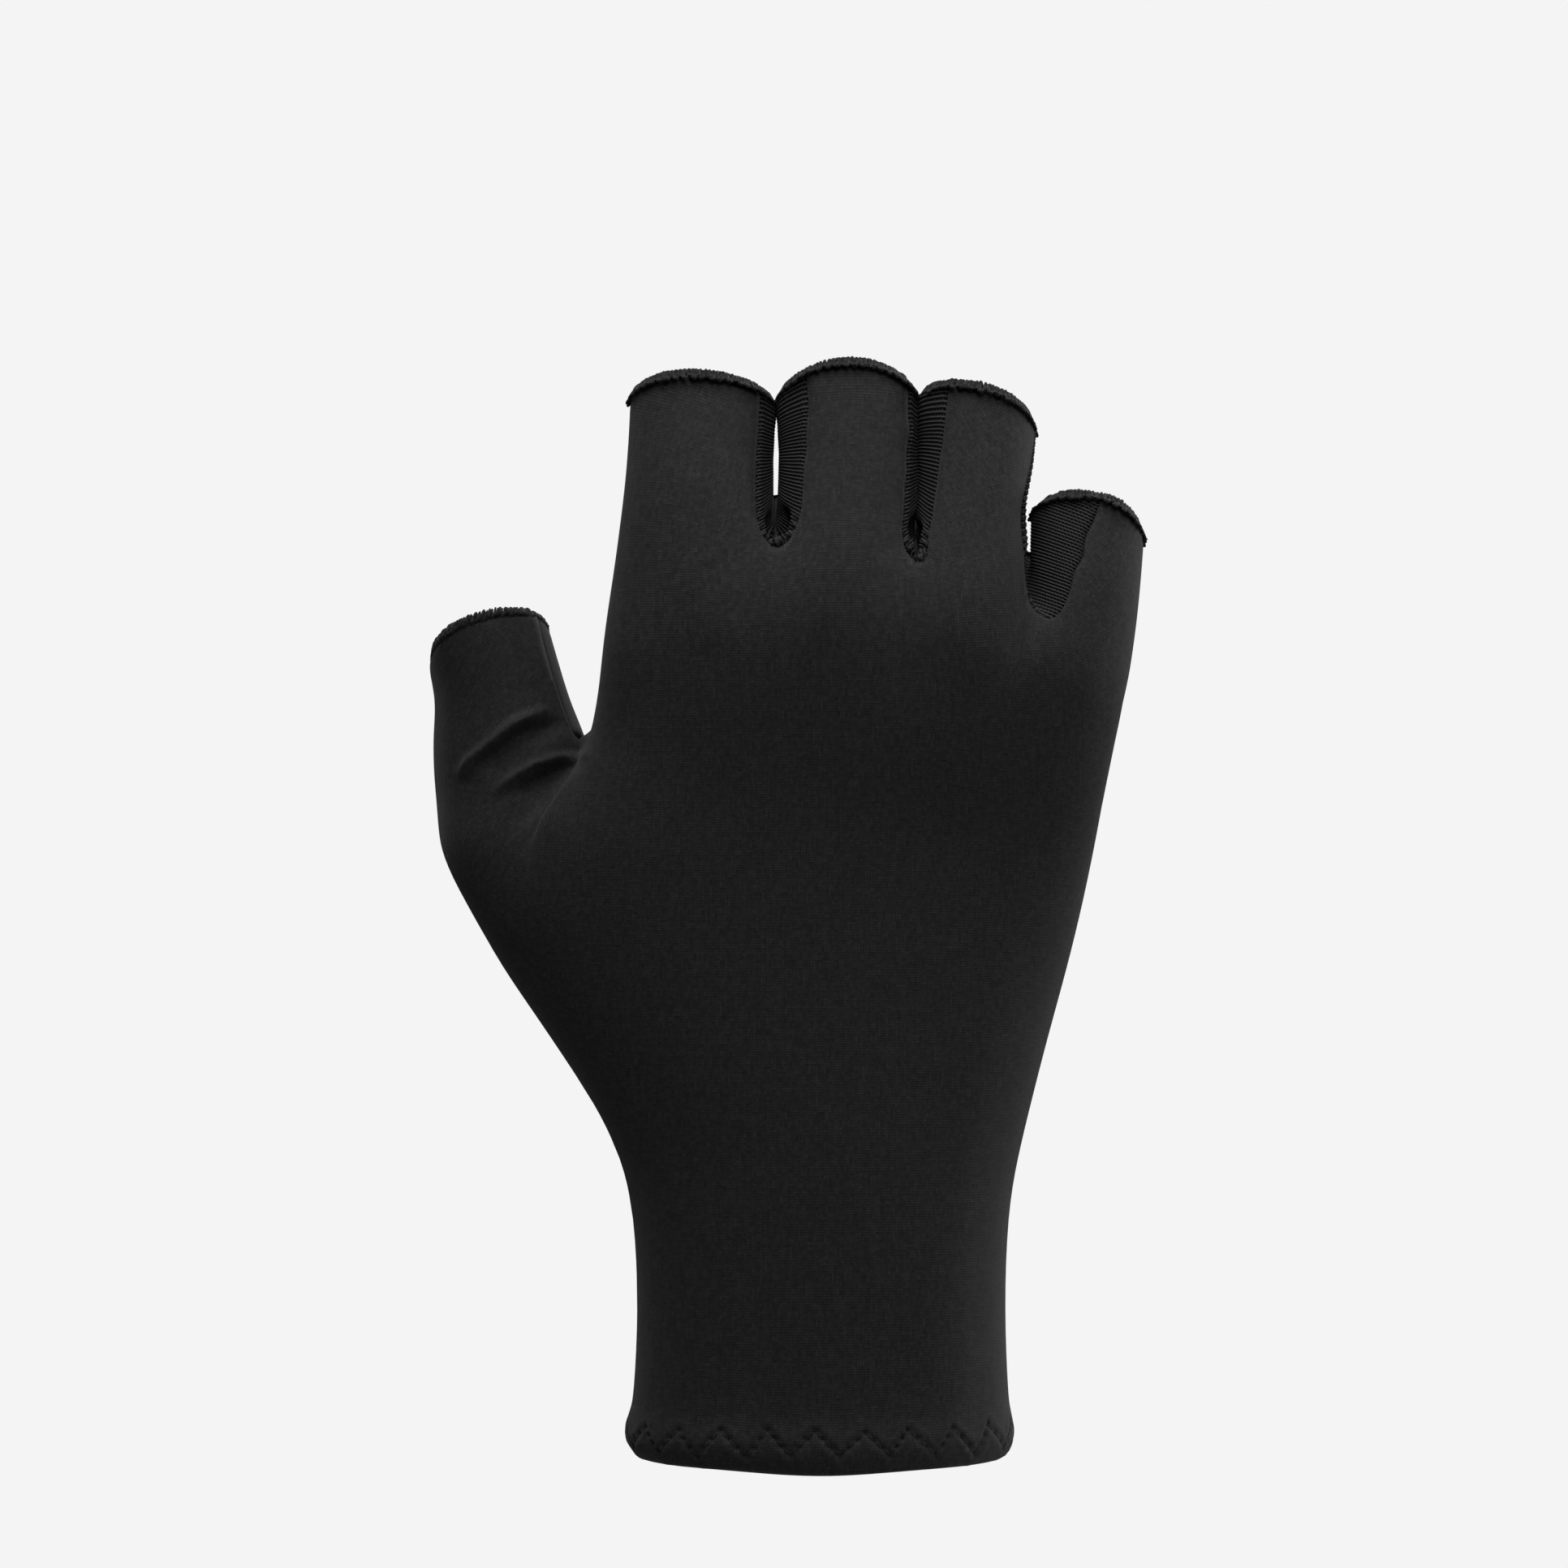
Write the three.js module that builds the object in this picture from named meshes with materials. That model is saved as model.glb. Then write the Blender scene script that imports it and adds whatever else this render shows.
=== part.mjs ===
import * as THREE from 'three';

// A short-finger cycling glove for the right hand, hollow, in the shape that it has when it is worn.
// Millimetres. The origin is the middle of the wrist opening, +Z runs towards the fingers,
// -Y is the back of the hand and +X the side of the little finger.

// Cloth
const CLOTH = 1.0; // thickness of the knit
const HEM_CLOTH = 2.2; // at the wrist the cloth is turned in and stitched down
const HEM_HEIGHT = 8;
const HEM_SAG = 0.9; // the hem hangs this much lower on the back of the hand than at its sides
const SEAM_GAP = 0.3; // between two pieces

// Thread edge of each opening
const EDGE_HEIGHT = 1.9; // along the finger
const EDGE_WIDTH = 1.8; // across the cloth
const EDGE_SIDES = 6;

// Heights where the shape changes
const CROTCH_HEIGHT = 119.5; // the thumb leaves the hand
const FOLD_START = 95; // the fold between thumb and hand fades in from here
const THUMB_DROP = 8; // the thumb's rows fall by this much towards its outer side
const CROTCH_DIP = 1.6;
const BLEND_BELOW = 18; // a finger's tube grows out of the hand from this far below its root
const BLEND_ABOVE = 14; // to this far above it

// Roundness of a section: 2 is an ellipse, more is squarer
const ROUND_LOWER = 2.3;
const ROUND_HAND = 2.8;
const ROUND_TUBE = 2.15;

// Rows and columns of the surface
const LOWER_ROWS = [0, 1.5, 4, 7.6, 9.2, 24, 40, 49, 58, 69, 81, 92, 101, 107.5, 113.5, CROTCH_HEIGHT];
const HAND_ROWS = 5;
const FINGER_ROWS = 5;
const THUMB_ROWS = 6;
const FINGER_COLUMNS = 5;
const SIDE_COLUMNS = 4;
const SLOT_COLUMNS = 4;
const THUMB_COLUMNS = 5;
const CROTCH_COLUMNS = 2;

const FOLD_HALF_ANGLE = 1.5; // half the width of the strip that becomes the thumb's crotch, in degrees
const HAND_EDGE_ANGLE = 78; // from the middle of the hand's back to the edge of its rounded left side

// Sections up to the thumb's crotch: both sides, the line between thumb and hand, the back and the palm.
const LOWER_HAND = [
  { z: 0, left: -31.0, right: 31.6, fold: -23, back: -19.7, palm: 19.7 },
  { z: 3.5, left: -32.6, right: 32.7, fold: -24, back: -20.5, palm: 20.5 },
  { z: 9.2, left: -30.9, right: 31.6, fold: -23, back: -19.3, palm: 19.5 },
  { z: 18, left: -30.1, right: 31.0, fold: -22, back: -18.9, palm: 19.2 },
  { z: 36, left: -30.4, right: 31.1, fold: -23, back: -18.5, palm: 19.0 },
  { z: 47, left: -32.2, right: 32.7, fold: -26, back: -18.0, palm: 18.9 },
  { z: 58, left: -37.2, right: 35.3, fold: -31, back: -17.5, palm: 18.8 },
  { z: 69, left: -44.6, right: 38.0, fold: -37, back: -17.0, palm: 18.6 },
  { z: 80, left: -51.8, right: 41.0, fold: -41, back: -16.5, palm: 18.2 },
  { z: 91, left: -58.3, right: 43.6, fold: -47, back: -16.1, palm: 17.4 },
  { z: 101, left: -62.7, right: 45.7, fold: -50, back: -15.8, palm: 16.4 },
  { z: 112, left: -63.7, right: 47.8, fold: -43, back: -15.6, palm: 15.2 },
  { z: 121, left: -63.9, right: 49.5, fold: -37, back: -15.4, palm: 14.5 },
];

// Sections of the hand without the thumb. Below the crotch its left side is the fold over the thumb.
const UPPER_HAND = [
  { z: 96, left: -54.0, right: 44.7, back: -16.0, palm: 17.0 },
  { z: 104.7, left: -48.6, right: 46.4, back: -15.7, palm: 16.0 },
  { z: 112, left: -43.0, right: 47.8, back: -15.6, palm: 15.2 },
  { z: 117, left: -39.4, right: 48.8, back: -15.5, palm: 14.8 },
  { z: 121, left: -37.5, right: 49.6, back: -15.4, palm: 14.5 },
  { z: 128, left: -36.5, right: 51.1, back: -15.3, palm: 14.0 },
  { z: 137, left: -35.7, right: 52.7, back: -15.0, palm: 13.4 },
  { z: 147, left: -34.1, right: 53.8, back: -14.4, palm: 12.8 },
  { z: 158, left: -32.8, right: 54.8, back: -13.0, palm: 12.4 },
  { z: 170, left: -31.8, right: 55.4, back: -11.0, palm: 12.0 },
];

// Sections of each tube of cloth, from its root to its opening.
const TUBES = {
  thumb: [
    { z: 95, left: -61.5, right: -36.0, back: -7.5, palm: 17.0 },
    { z: 108, left: -63.7, right: -36.8, back: -6.6, palm: 17.0 },
    { z: 118, left: -63.9, right: -38.6, back: -5.5, palm: 16.8 },
    { z: 126, left: -64.1, right: -41.7, back: -4.2, palm: 17.0 },
    { z: 138, left: -67.4, right: -45.3, back: -2.8, palm: 17.6 },
  ],
  index: [
    { z: 148, left: -33.9, right: -7.6, back: -14.0, palm: 9.5 },
    { z: 160, left: -32.4, right: -7.6, back: -10.9, palm: 10.3 },
    { z: 170, left: -31.7, right: -7.7, back: -7.6, palm: 11.9 },
    { z: 180, left: -31.4, right: -8.0, back: -4.2, palm: 14.3 },
  ],
  middle: [
    { z: 148, left: -6.6, right: 16.0, back: -14.4, palm: 9.3 },
    { z: 160, left: -6.8, right: 15.9, back: -11.4, palm: 10.1 },
    { z: 170, left: -6.7, right: 15.9, back: -8.2, palm: 11.7 },
    { z: 182, left: -6.5, right: 15.9, back: -4.2, palm: 14.6 },
  ],
  ring: [
    { z: 144, left: 17.0, right: 34.3, back: -13.8, palm: 8.8 },
    { z: 156, left: 17.0, right: 34.0, back: -11.0, palm: 9.4 },
    { z: 166, left: 17.1, right: 35.7, back: -7.9, palm: 10.8 },
    { z: 178, left: 17.2, right: 36.6, back: -3.9, palm: 13.6 },
  ],
  little: [
    { z: 134, left: 35.4, right: 52.4, back: -11.6, palm: 8.6 },
    { z: 144, left: 35.0, right: 53.5, back: -9.6, palm: 9.0 },
    { z: 152, left: 35.1, right: 54.2, back: -7.2, palm: 10.0 },
    { z: 162, left: 35.7, right: 54.7, back: -4.2, palm: 12.2 },
  ],
};

// Seams of each finger, as angles across its tube from the middle of the back or of the palm,
// and the heights where the tube leaves the hand at each of them.
const SEAMS = [
  { finger: 'index', face: 'back', side: 'left', root: -78, open: -78, height: 154 },
  { finger: 'index', face: 'back', side: 'right', root: 47, open: 53, height: 155.5 },
  { finger: 'index', face: 'palm', side: 'left', root: -78, open: -78, height: 155 },
  { finger: 'index', face: 'palm', side: 'right', root: 40, open: 40, height: 163 },
  { finger: 'middle', face: 'back', side: 'left', root: -40, open: -33, height: 155.9 },
  { finger: 'middle', face: 'back', side: 'right', root: 52, open: 62, height: 152.6 },
  { finger: 'middle', face: 'palm', side: 'left', root: -40, open: -40, height: 163 },
  { finger: 'middle', face: 'palm', side: 'right', root: 40, open: 40, height: 161.5 },
  { finger: 'ring', face: 'back', side: 'left', root: -50, open: -31, height: 152.4 },
  { finger: 'ring', face: 'back', side: 'right', root: 80, open: 84, height: 143 },
  { finger: 'ring', face: 'palm', side: 'left', root: -40, open: -40, height: 161.5 },
  { finger: 'ring', face: 'palm', side: 'right', root: 40, open: 40, height: 154.5 },
  { finger: 'little', face: 'back', side: 'left', root: -19, open: 8, height: 143.4 },
  { finger: 'little', face: 'back', side: 'right', root: 90, open: 90, height: 138 },
  { finger: 'little', face: 'palm', side: 'left', root: -40, open: -40, height: 150 },
  { finger: 'little', face: 'palm', side: 'right', root: 90, open: 90, height: 138 },
];
const THUMB_SEAM = 57;

// The slots between the fingers: how far their rounded bottoms dip below the roots beside them.
const SLOTS = [
  { left: 'index', right: 'middle', back: 5.3, palm: 3.4 },
  { left: 'middle', right: 'ring', back: 4.4, palm: 3.4 },
  { left: 'ring', right: 'little', back: 5.0, palm: 1.6 },
];

// Height of each opening's edge at its left and right side, on the back and on the palm.
const OPENINGS = {
  thumb: { left: 132.4, right: 139.0, back: 140.0, palm: 132.5 },
  index: { left: 177.0, right: 175.7, back: 180.4, palm: 174.8 },
  middle: { left: 176.2, right: 176.8, back: 182.4, palm: 175.8 },
  ring: { left: 176.6, right: 171.9, back: 178.2, palm: 171.8 },
  little: { left: 157.6, right: 153.6, back: 160.4, palm: 154.6 },
};

// Gentle swellings and hollows of the hand under the cloth.
const SWELLINGS = [
  { name: 'index knuckle', face: 'back', x: -21, z: 142, spread: 8, rise: 1.1 },
  { name: 'middle knuckle', face: 'back', x: 3, z: 146, spread: 8, rise: 1.3 },
  { name: 'ring knuckle', face: 'back', x: 24, z: 141, spread: 8, rise: 1.0 },
  { name: 'little knuckle', face: 'back', x: 43, z: 131, spread: 7, rise: 0.9 },
  { name: 'wrist bone', face: 'back', x: 18, z: 30, spread: 9, rise: 0.7 },
  { name: 'thumb ball', face: 'palm', x: -38, z: 86, spread: 19, rise: 4.5 },
  { name: 'heel of the hand', face: 'palm', x: 26, z: 72, spread: 18, rise: 3.0 },
  { name: 'hollow of the palm', face: 'palm', x: -2, z: 104, spread: 17, rise: -2.2 },
];

// Folds of the cloth across the thumb's base, each a bowed ridge or valley between two points.
const FOLDS = [
  { name: 'upper ridge', x: -60, z: 112.5, toX: -46, toZ: 123.6, bow: 1.4, width: 2.6, rise: 0.8 },
  { name: 'upper valley', x: -54, z: 114.5, toX: -43, toZ: 121.0, bow: 1.2, width: 2.2, rise: -0.9 },
  { name: 'lower ridge', x: -54, z: 109.5, toX: -41, toZ: 116.8, bow: 1.6, width: 2.2, rise: 0.7 },
  { name: 'lower valley', x: -50, z: 109.0, toX: -41, toZ: 114.2, bow: 0.8, width: 2.0, rise: -0.8 },
];

const FINISHES = {
  backKnit: { color: 0x1e1e20, roughness: 0.62 },
  palmKnit: { color: 0x1c1c1e, roughness: 0.68 },
  mesh: { color: 0x18181a, roughness: 0.75 },
  thread: { color: 0x141416, roughness: 0.8 },
};

const { clamp, degToRad, radToDeg, lerp, smoothstep } = THREE.MathUtils;

// Reads a column of a table of sections at height z, on a smooth curve through its rows.
function readTable(table, column, z) {
  const last = table.length - 1;
  const height = clamp(z, table[0].z, table[last].z);
  let low = 0;
  while (low < last - 1 && height > table[low + 1].z) low += 1;
  const slope = (row) => {
    const below = table[Math.max(row - 1, 0)];
    const above = table[Math.min(row + 1, last)];
    return (above[column] - below[column]) / (above.z - below.z);
  };
  const span = table[low + 1].z - table[low].z;
  const t = (height - table[low].z) / span;
  const start = table[low][column];
  const end = table[low + 1][column];
  const ease = t * t * (3 - 2 * t);
  const leave = t * (1 - t) * (1 - t) * slope(low) * span;
  const arrive = t * t * (t - 1) * slope(low + 1) * span;
  return lerp(start, end, ease) + leave + arrive;
}

// The point of a rounded section at an angle from the middle of its back, or of its palm.
function pointOn(table, roundness, face, angle, z) {
  const turn = degToRad(face === 'palm' ? 180 - angle : angle);
  const [left, right, back, palm] = ['left', 'right', 'back', 'palm'].map((name) => readTable(table, name, z));
  const bent = (value) => Math.sign(value) * Math.abs(value) ** (2 / roundness);
  const x = (left + right) / 2 + ((right - left) / 2) * bent(Math.sin(turn));
  const y = (back + palm) / 2 - ((palm - back) / 2) * bent(Math.cos(turn));
  return new THREE.Vector3(x, y, z);
}

// The angle across a rounded section at which it has a given x.
function angleAt(table, roundness, x, z) {
  const left = readTable(table, 'left', z);
  const right = readTable(table, 'right', z);
  const share = (2 * x - left - right) / (right - left);
  return radToDeg(Math.asin(Math.sign(share) * Math.abs(share) ** (roundness / 2)));
}

// Height of a tube's cloth at its opening, below the thread edge, at an angle round the tube.
function openingHeight(name, face, angle) {
  const turn = degToRad(face === 'palm' ? 180 - angle : angle);
  const { left, right, back, palm } = OPENINGS[name];
  const mean = (left + right + back + palm) / 4;
  const flex = ((back - palm) / 2) * Math.cos(turn);
  const lean = ((right - left) / 2) * Math.sin(turn);
  const arch = ((back + palm - left - right) / 4) * Math.cos(2 * turn);
  return mean + flex + lean + arch - EDGE_HEIGHT - SEAM_GAP;
}

const seamOf = (finger, face, side) =>
  SEAMS.find((seam) => seam.finger === finger && seam.face === face && seam.side === side);

// The angle of a finger's seam across the whole hand, where its line comes down from the root.
function handAngle(seam) {
  if (seam.finger === 'index' && seam.side === 'left') return -HAND_EDGE_ANGLE;
  if (seam.finger === 'little' && seam.side === 'right') return 90;
  const root = pointOn(TUBES[seam.finger], ROUND_TUBE, seam.face, seam.root, seam.height);
  return angleAt(UPPER_HAND, ROUND_HAND, root.x, seam.height);
}

const mixed = (from, to, share) => from.clone().lerp(to, share);

// A point where a finger's tube grows out of the hand.
function grownPoint(finger, face, angles, z, root) {
  const onHand = pointOn(UPPER_HAND, ROUND_HAND, face, angles.hand, z);
  const onTube = pointOn(TUBES[finger], ROUND_TUBE, face, angles.tube, z);
  return mixed(onHand, onTube, smoothstep(z - root, -BLEND_BELOW, BLEND_ABOVE));
}

// How far a row is from a finger's root to its opening, and its height there.
const riseOf = (row) => Math.max(0, row - HAND_ROWS) / FINGER_ROWS;

function rowHeight(row, root, opening) {
  if (row < HAND_ROWS) return lerp(CROTCH_HEIGHT, root, row / HAND_ROWS);
  return lerp(root, opening, riseOf(row));
}

// The back or the palm of a finger, carried down the hand to the row of the thumb's crotch.
function fingerPoint(finger, face, share, row) {
  const left = seamOf(finger, face, 'left');
  const right = seamOf(finger, face, 'right');
  const rise = riseOf(row);
  const tube = lerp(lerp(left.root, left.open, rise), lerp(right.root, right.open, rise), share);
  const hand = lerp(handAngle(left), handAngle(right), share);
  const root = lerp(left.height, right.height, share);
  const z = rowHeight(row, root, openingHeight(finger, face, tube));
  return grownPoint(finger, face, { hand, tube }, z, root);
}

// The side of a finger inside a slot, from the back's seam to the palm's.
function slotSidePoint(finger, side, share, row) {
  const edge = side === 'left' ? 0 : 1;
  const onBack = fingerPoint(finger, 'back', edge, row);
  const onPalm = fingerPoint(finger, 'palm', edge, row);
  const back = seamOf(finger, 'back', side);
  const palm = seamOf(finger, 'palm', side);
  const rise = riseOf(row);
  const first = lerp(back.root, back.open, rise);
  const last = (side === 'left' ? -180 : 180) - lerp(palm.root, palm.open, rise);
  const angle = lerp(first, last, share);
  const root = lerp(back.height, palm.height, share);
  const z = rowHeight(row, root, openingHeight(finger, 'back', angle));
  const onTube = (turn, height) => pointOn(TUBES[finger], ROUND_TUBE, 'back', turn, height);
  const backShift = onBack.clone().sub(onTube(first, onBack.z)).multiplyScalar(1 - share);
  const palmShift = onPalm.clone().sub(onTube(last, onPalm.z)).multiplyScalar(share);
  return onTube(angle, z).add(backShift).add(palmShift).setZ(z);
}

// The rounded left side of the hand and of the index finger.
function handEdgePoint(share, row) {
  const back = seamOf('index', 'back', 'left');
  const palm = seamOf('index', 'palm', 'left');
  const angle = lerp(-HAND_EDGE_ANGLE, HAND_EDGE_ANGLE - 180, share);
  const root = lerp(back.height, palm.height, share);
  const z = rowHeight(row, root, openingHeight('index', 'back', angle));
  return grownPoint('index', 'back', { hand: angle, tube: angle }, z, root);
}

// The cloth below a slot, with a rounded dip that grows towards the fingers' roots.
function slotPoint(slot, face, share, row) {
  const left = fingerPoint(slot.left, face, 1, row);
  const right = fingerPoint(slot.right, face, 0, row);
  if (share === 0) return left;
  if (share === 1) return right;
  const seams = [seamOf(slot.left, face, 'right'), seamOf(slot.right, face, 'left')];
  const dip = slot[face] * (row / HAND_ROWS) ** 2 * Math.sin(Math.PI * share);
  const z = lerp(left.z, right.z, share) - dip;
  const angle = lerp(handAngle(seams[0]), handAngle(seams[1]), share);
  const root = lerp(seams[0].height, seams[1].height, share);
  const onHand = pointOn(UPPER_HAND, ROUND_HAND, face, angle, z);
  return mixed(onHand, mixed(left, right, share), smoothstep(z - root, -BLEND_BELOW, BLEND_ABOVE)).setZ(z);
}

// How far the thumb and the hand have parted at a height below the crotch.
const partedAt = (z) => smoothstep(z, FOLD_START, CROTCH_HEIGHT);

const hemSag = (face, angle, z) =>
  HEM_SAG * Math.cos(degToRad(angle)) * (face === 'back' ? -1 : 1) * (1 - smoothstep(z, 0, 2 * HEM_HEIGHT));

// The hand below the crotch, at an angle of the upper hand's section.
function lowerHandPoint(face, angle, row) {
  const z = LOWER_ROWS[row];
  const fold = angleAt(LOWER_HAND, ROUND_LOWER, readTable(LOWER_HAND, 'fold', z), z) + FOLD_HALF_ANGLE;
  const share = (angle + HAND_EDGE_ANGLE) / (90 + HAND_EDGE_ANGLE);
  const lowerAngle = lerp(fold, 90, share);
  const onLower = pointOn(LOWER_HAND, ROUND_LOWER, face, lowerAngle, z);
  const onUpper = pointOn(UPPER_HAND, ROUND_HAND, face, angle, z);
  const point = mixed(onLower, onUpper, partedAt(z));
  point.z += hemSag(face, lowerAngle, z);
  return point;
}

function lowerFingerPoint(finger, face, share, row) {
  const angles = ['left', 'right'].map((side) => handAngle(seamOf(finger, face, side)));
  return lowerHandPoint(face, lerp(angles[0], angles[1], share), row);
}

function lowerSlotPoint(slot, face, share, row) {
  const first = handAngle(seamOf(slot.left, face, 'right'));
  const last = handAngle(seamOf(slot.right, face, 'left'));
  return lowerHandPoint(face, lerp(first, last, share), row);
}

// The thumb's side of the hand below the crotch, which turns into the thumb's own tube.
function lowerThumbPoint(face, share, row) {
  const level = LOWER_ROWS[row];
  const parted = partedAt(level);
  const z = level - THUMB_DROP * parted * (1 - share);
  const fold = angleAt(LOWER_HAND, ROUND_LOWER, readTable(LOWER_HAND, 'fold', z), z) - FOLD_HALF_ANGLE;
  const lowerAngle = lerp(-90, fold, share);
  const onLower = pointOn(LOWER_HAND, ROUND_LOWER, face, lowerAngle, z);
  const onTube = pointOn(TUBES.thumb, ROUND_TUBE, face, lerp(-90, THUMB_SEAM, share), z);
  const point = mixed(onLower, onTube, parted);
  point.z += hemSag(face, lowerAngle, z);
  return point;
}

// The strip between thumb and hand, which ends in the crotch.
function crotchPoint(face, share, row) {
  const thumb = lowerThumbPoint(face, 1, row);
  const hand = lowerFingerPoint('index', face, 0, row);
  const point = mixed(thumb, hand, share);
  point.z -= CROTCH_DIP * partedAt(LOWER_ROWS[row]) ** 2 * Math.sin(Math.PI * share);
  return point;
}

// The thumb's tube above the crotch, from its root, row 0, to its opening.
function thumbPoint(face, angle, row) {
  const turned = face === 'palm' ? 180 - angle : angle;
  const outward = clamp((THUMB_SEAM - angle) / (THUMB_SEAM + 90), 0, 1);
  const root = CROTCH_HEIGHT - THUMB_DROP * outward;
  const z = lerp(root, openingHeight('thumb', 'back', turned), row / THUMB_ROWS);
  return pointOn(TUBES.thumb, ROUND_TUBE, face, angle, z);
}

// A lane is a stretch of a loop that runs round the glove. Lanes meet end to end.
const lane = (piece, columns, pointAt) => ({ piece, columns, pointAt });
const reversed = (piece, columns, pointAt) => lane(piece, columns, (share, row) => pointAt(1 - share, row));
const slotName = (slot) => `fourchette_${slot.left}_${slot.right}`;
const FINGERS = ['index', 'middle', 'ring', 'little'];

// The lanes across the four fingers and three slots on one face, from left to right.
function handLanes(face, fingerAt, slotAt) {
  const piece = `${face}_panel`;
  const lanes = [];
  for (const [i, finger] of FINGERS.entries()) {
    lanes.push(lane(piece, FINGER_COLUMNS, (share, row) => fingerAt(finger, face, share, row)));
    const slot = SLOTS[i];
    if (slot) lanes.push(lane(piece, SLOT_COLUMNS, (share, row) => slotAt(slot, face, share, row)));
  }
  return lanes;
}

// Palm lanes run from right to left, so that each loop goes once round.
const turnedBack = (lanes) => lanes.map((one) => reversed(one.piece, one.columns, one.pointAt)).reverse();

function lowerLanes() {
  const [back, palm] = ['back', 'palm'].map((face) => [
    lane(`${face}_panel`, THUMB_COLUMNS, (share, row) => lowerThumbPoint(face, share, row)),
    lane(`${face}_panel`, CROTCH_COLUMNS, (share, row) => crotchPoint(face, share, row)),
    ...handLanes(face, lowerFingerPoint, lowerSlotPoint),
  ]);
  return [...back, ...turnedBack(palm)];
}

// The hand's rounded left side: its back half belongs to the back panel, the rest to the palm panel.
function handEdgeLanes() {
  const half = SIDE_COLUMNS / 2;
  return [
    reversed('palm_panel', half, (share, row) => handEdgePoint(0.5 + share / 2, row)),
    reversed('back_panel', half, (share, row) => handEdgePoint(share / 2, row)),
  ];
}

function upperLanes() {
  const [back, palm] = ['back', 'palm'].map((face) => handLanes(face, fingerPoint, slotPoint));
  return [...back, ...turnedBack(palm), ...handEdgeLanes()];
}

function fingerLanes(finger) {
  const before = SLOTS.find((slot) => slot.right === finger);
  const after = SLOTS.find((slot) => slot.left === finger);
  const side = (name) => (share, row) => slotSidePoint(finger, name, share, row);
  const lanes = [lane('back_panel', FINGER_COLUMNS, (share, row) => fingerPoint(finger, 'back', share, row))];
  if (after) lanes.push(lane(slotName(after), SIDE_COLUMNS, side('right')));
  lanes.push(reversed('palm_panel', FINGER_COLUMNS, (share, row) => fingerPoint(finger, 'palm', share, row)));
  if (before) lanes.push(reversed(slotName(before), SIDE_COLUMNS, side('left')));
  return before ? lanes : [...lanes, ...handEdgeLanes()];
}

function thumbLanes() {
  const across = (share) => lerp(-90, THUMB_SEAM, share);
  const round = (share) => lerp(THUMB_SEAM, 180 - THUMB_SEAM, share);
  return [
    lane('back_panel', THUMB_COLUMNS, (share, row) => thumbPoint('back', across(share), row)),
    lane('palm_panel', SIDE_COLUMNS, (share, row) => thumbSidePoint(round(share), row)),
    reversed('palm_panel', THUMB_COLUMNS, (share, row) => thumbPoint('palm', across(share), row)),
  ];
}

// The thumb's side that faces the hand.
function thumbSidePoint(angle, row) {
  const z = lerp(CROTCH_HEIGHT, openingHeight('thumb', 'back', angle), row / THUMB_ROWS);
  return pointOn(TUBES.thumb, ROUND_TUBE, 'back', angle, z);
}

// The whole surface as quads on shared vertices, each with the piece that it belongs to.
class Surface {
  constructor() {
    this.points = [];
    this.quads = [];
    this.known = new Map();
  }

  vertex(point) {
    const key = point.toArray().map((value) => value.toFixed(4)).join(' ');
    if (!this.known.has(key)) {
      this.known.set(key, this.points.length);
      this.points.push(point);
    }
    return this.known.get(key);
  }

  loop(lanes, row) {
    return lanes.flatMap(({ piece, columns, pointAt }) =>
      Array.from({ length: columns }, (_, i) => ({ piece, vertex: this.vertex(pointAt(i / columns, row)) })));
  }

  // Quads between two loops, one above the other.
  addBand(below, above) {
    below.forEach(({ piece, vertex }, i) => {
      const next = (i + 1) % below.length;
      this.quads.push({ piece, corners: [vertex, below[next].vertex, above[next].vertex, above[i].vertex] });
    });
  }

  addRows(lanes, first, last) {
    let below = this.loop(lanes, first);
    for (let row = first + 1; row <= last; row += 1) {
      const above = this.loop(lanes, row);
      this.addBand(below, above);
      below = above;
    }
    return below.map(({ vertex }) => vertex);
  }

  // The web at the bottom of a slot, stretched between the four lines round it.
  addWeb(pieceAt, columns, sides) {
    const corner = (u, s) => (s === 0 ? sides.back(u) : sides.palm(u));
    const pointAt = (u, s) => {
      if (s === 0 || s === 1) return corner(u, s);
      if (u === 0) return sides.left(s);
      if (u === 1) return sides.right(s);
      const between = mixed(sides.left(s), sides.right(s), u).add(mixed(sides.back(u), sides.palm(u), s));
      return between.sub(mixed(mixed(corner(0, 0), corner(1, 0), u), mixed(corner(0, 1), corner(1, 1), u), s));
    };
    const at = (i, j) => this.vertex(pointAt(i / columns, j / SIDE_COLUMNS));
    for (let i = 0; i < columns; i += 1) {
      for (let j = 0; j < SIDE_COLUMNS; j += 1) {
        const piece = pieceAt(i, j);
        this.quads.push({ piece, corners: [at(i, j), at(i + 1, j), at(i + 1, j + 1), at(i, j + 1)] });
      }
    }
  }

  // Outward directions, averaged over the quads at each vertex.
  normals() {
    const normals = this.points.map(() => new THREE.Vector3());
    for (const { corners } of this.quads) {
      const [a, b, c, d] = corners.map((index) => this.points[index]);
      const facing = c.clone().sub(a).cross(d.clone().sub(b));
      corners.forEach((index) => normals[index].add(facing));
    }
    return normals.map((normal) => normal.normalize());
  }
}

// How far the cloth stands out over a knuckle or another swelling.
function swellingAt(point, normal) {
  return SWELLINGS.reduce((total, { face, x, z, spread, rise }) => {
    const facing = Math.max(0, face === 'back' ? -normal.y : normal.y);
    const away = Math.hypot(point.x - x, point.z - z) / spread;
    return total + rise * facing * Math.exp(-away * away);
  }, 0);
}

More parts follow.
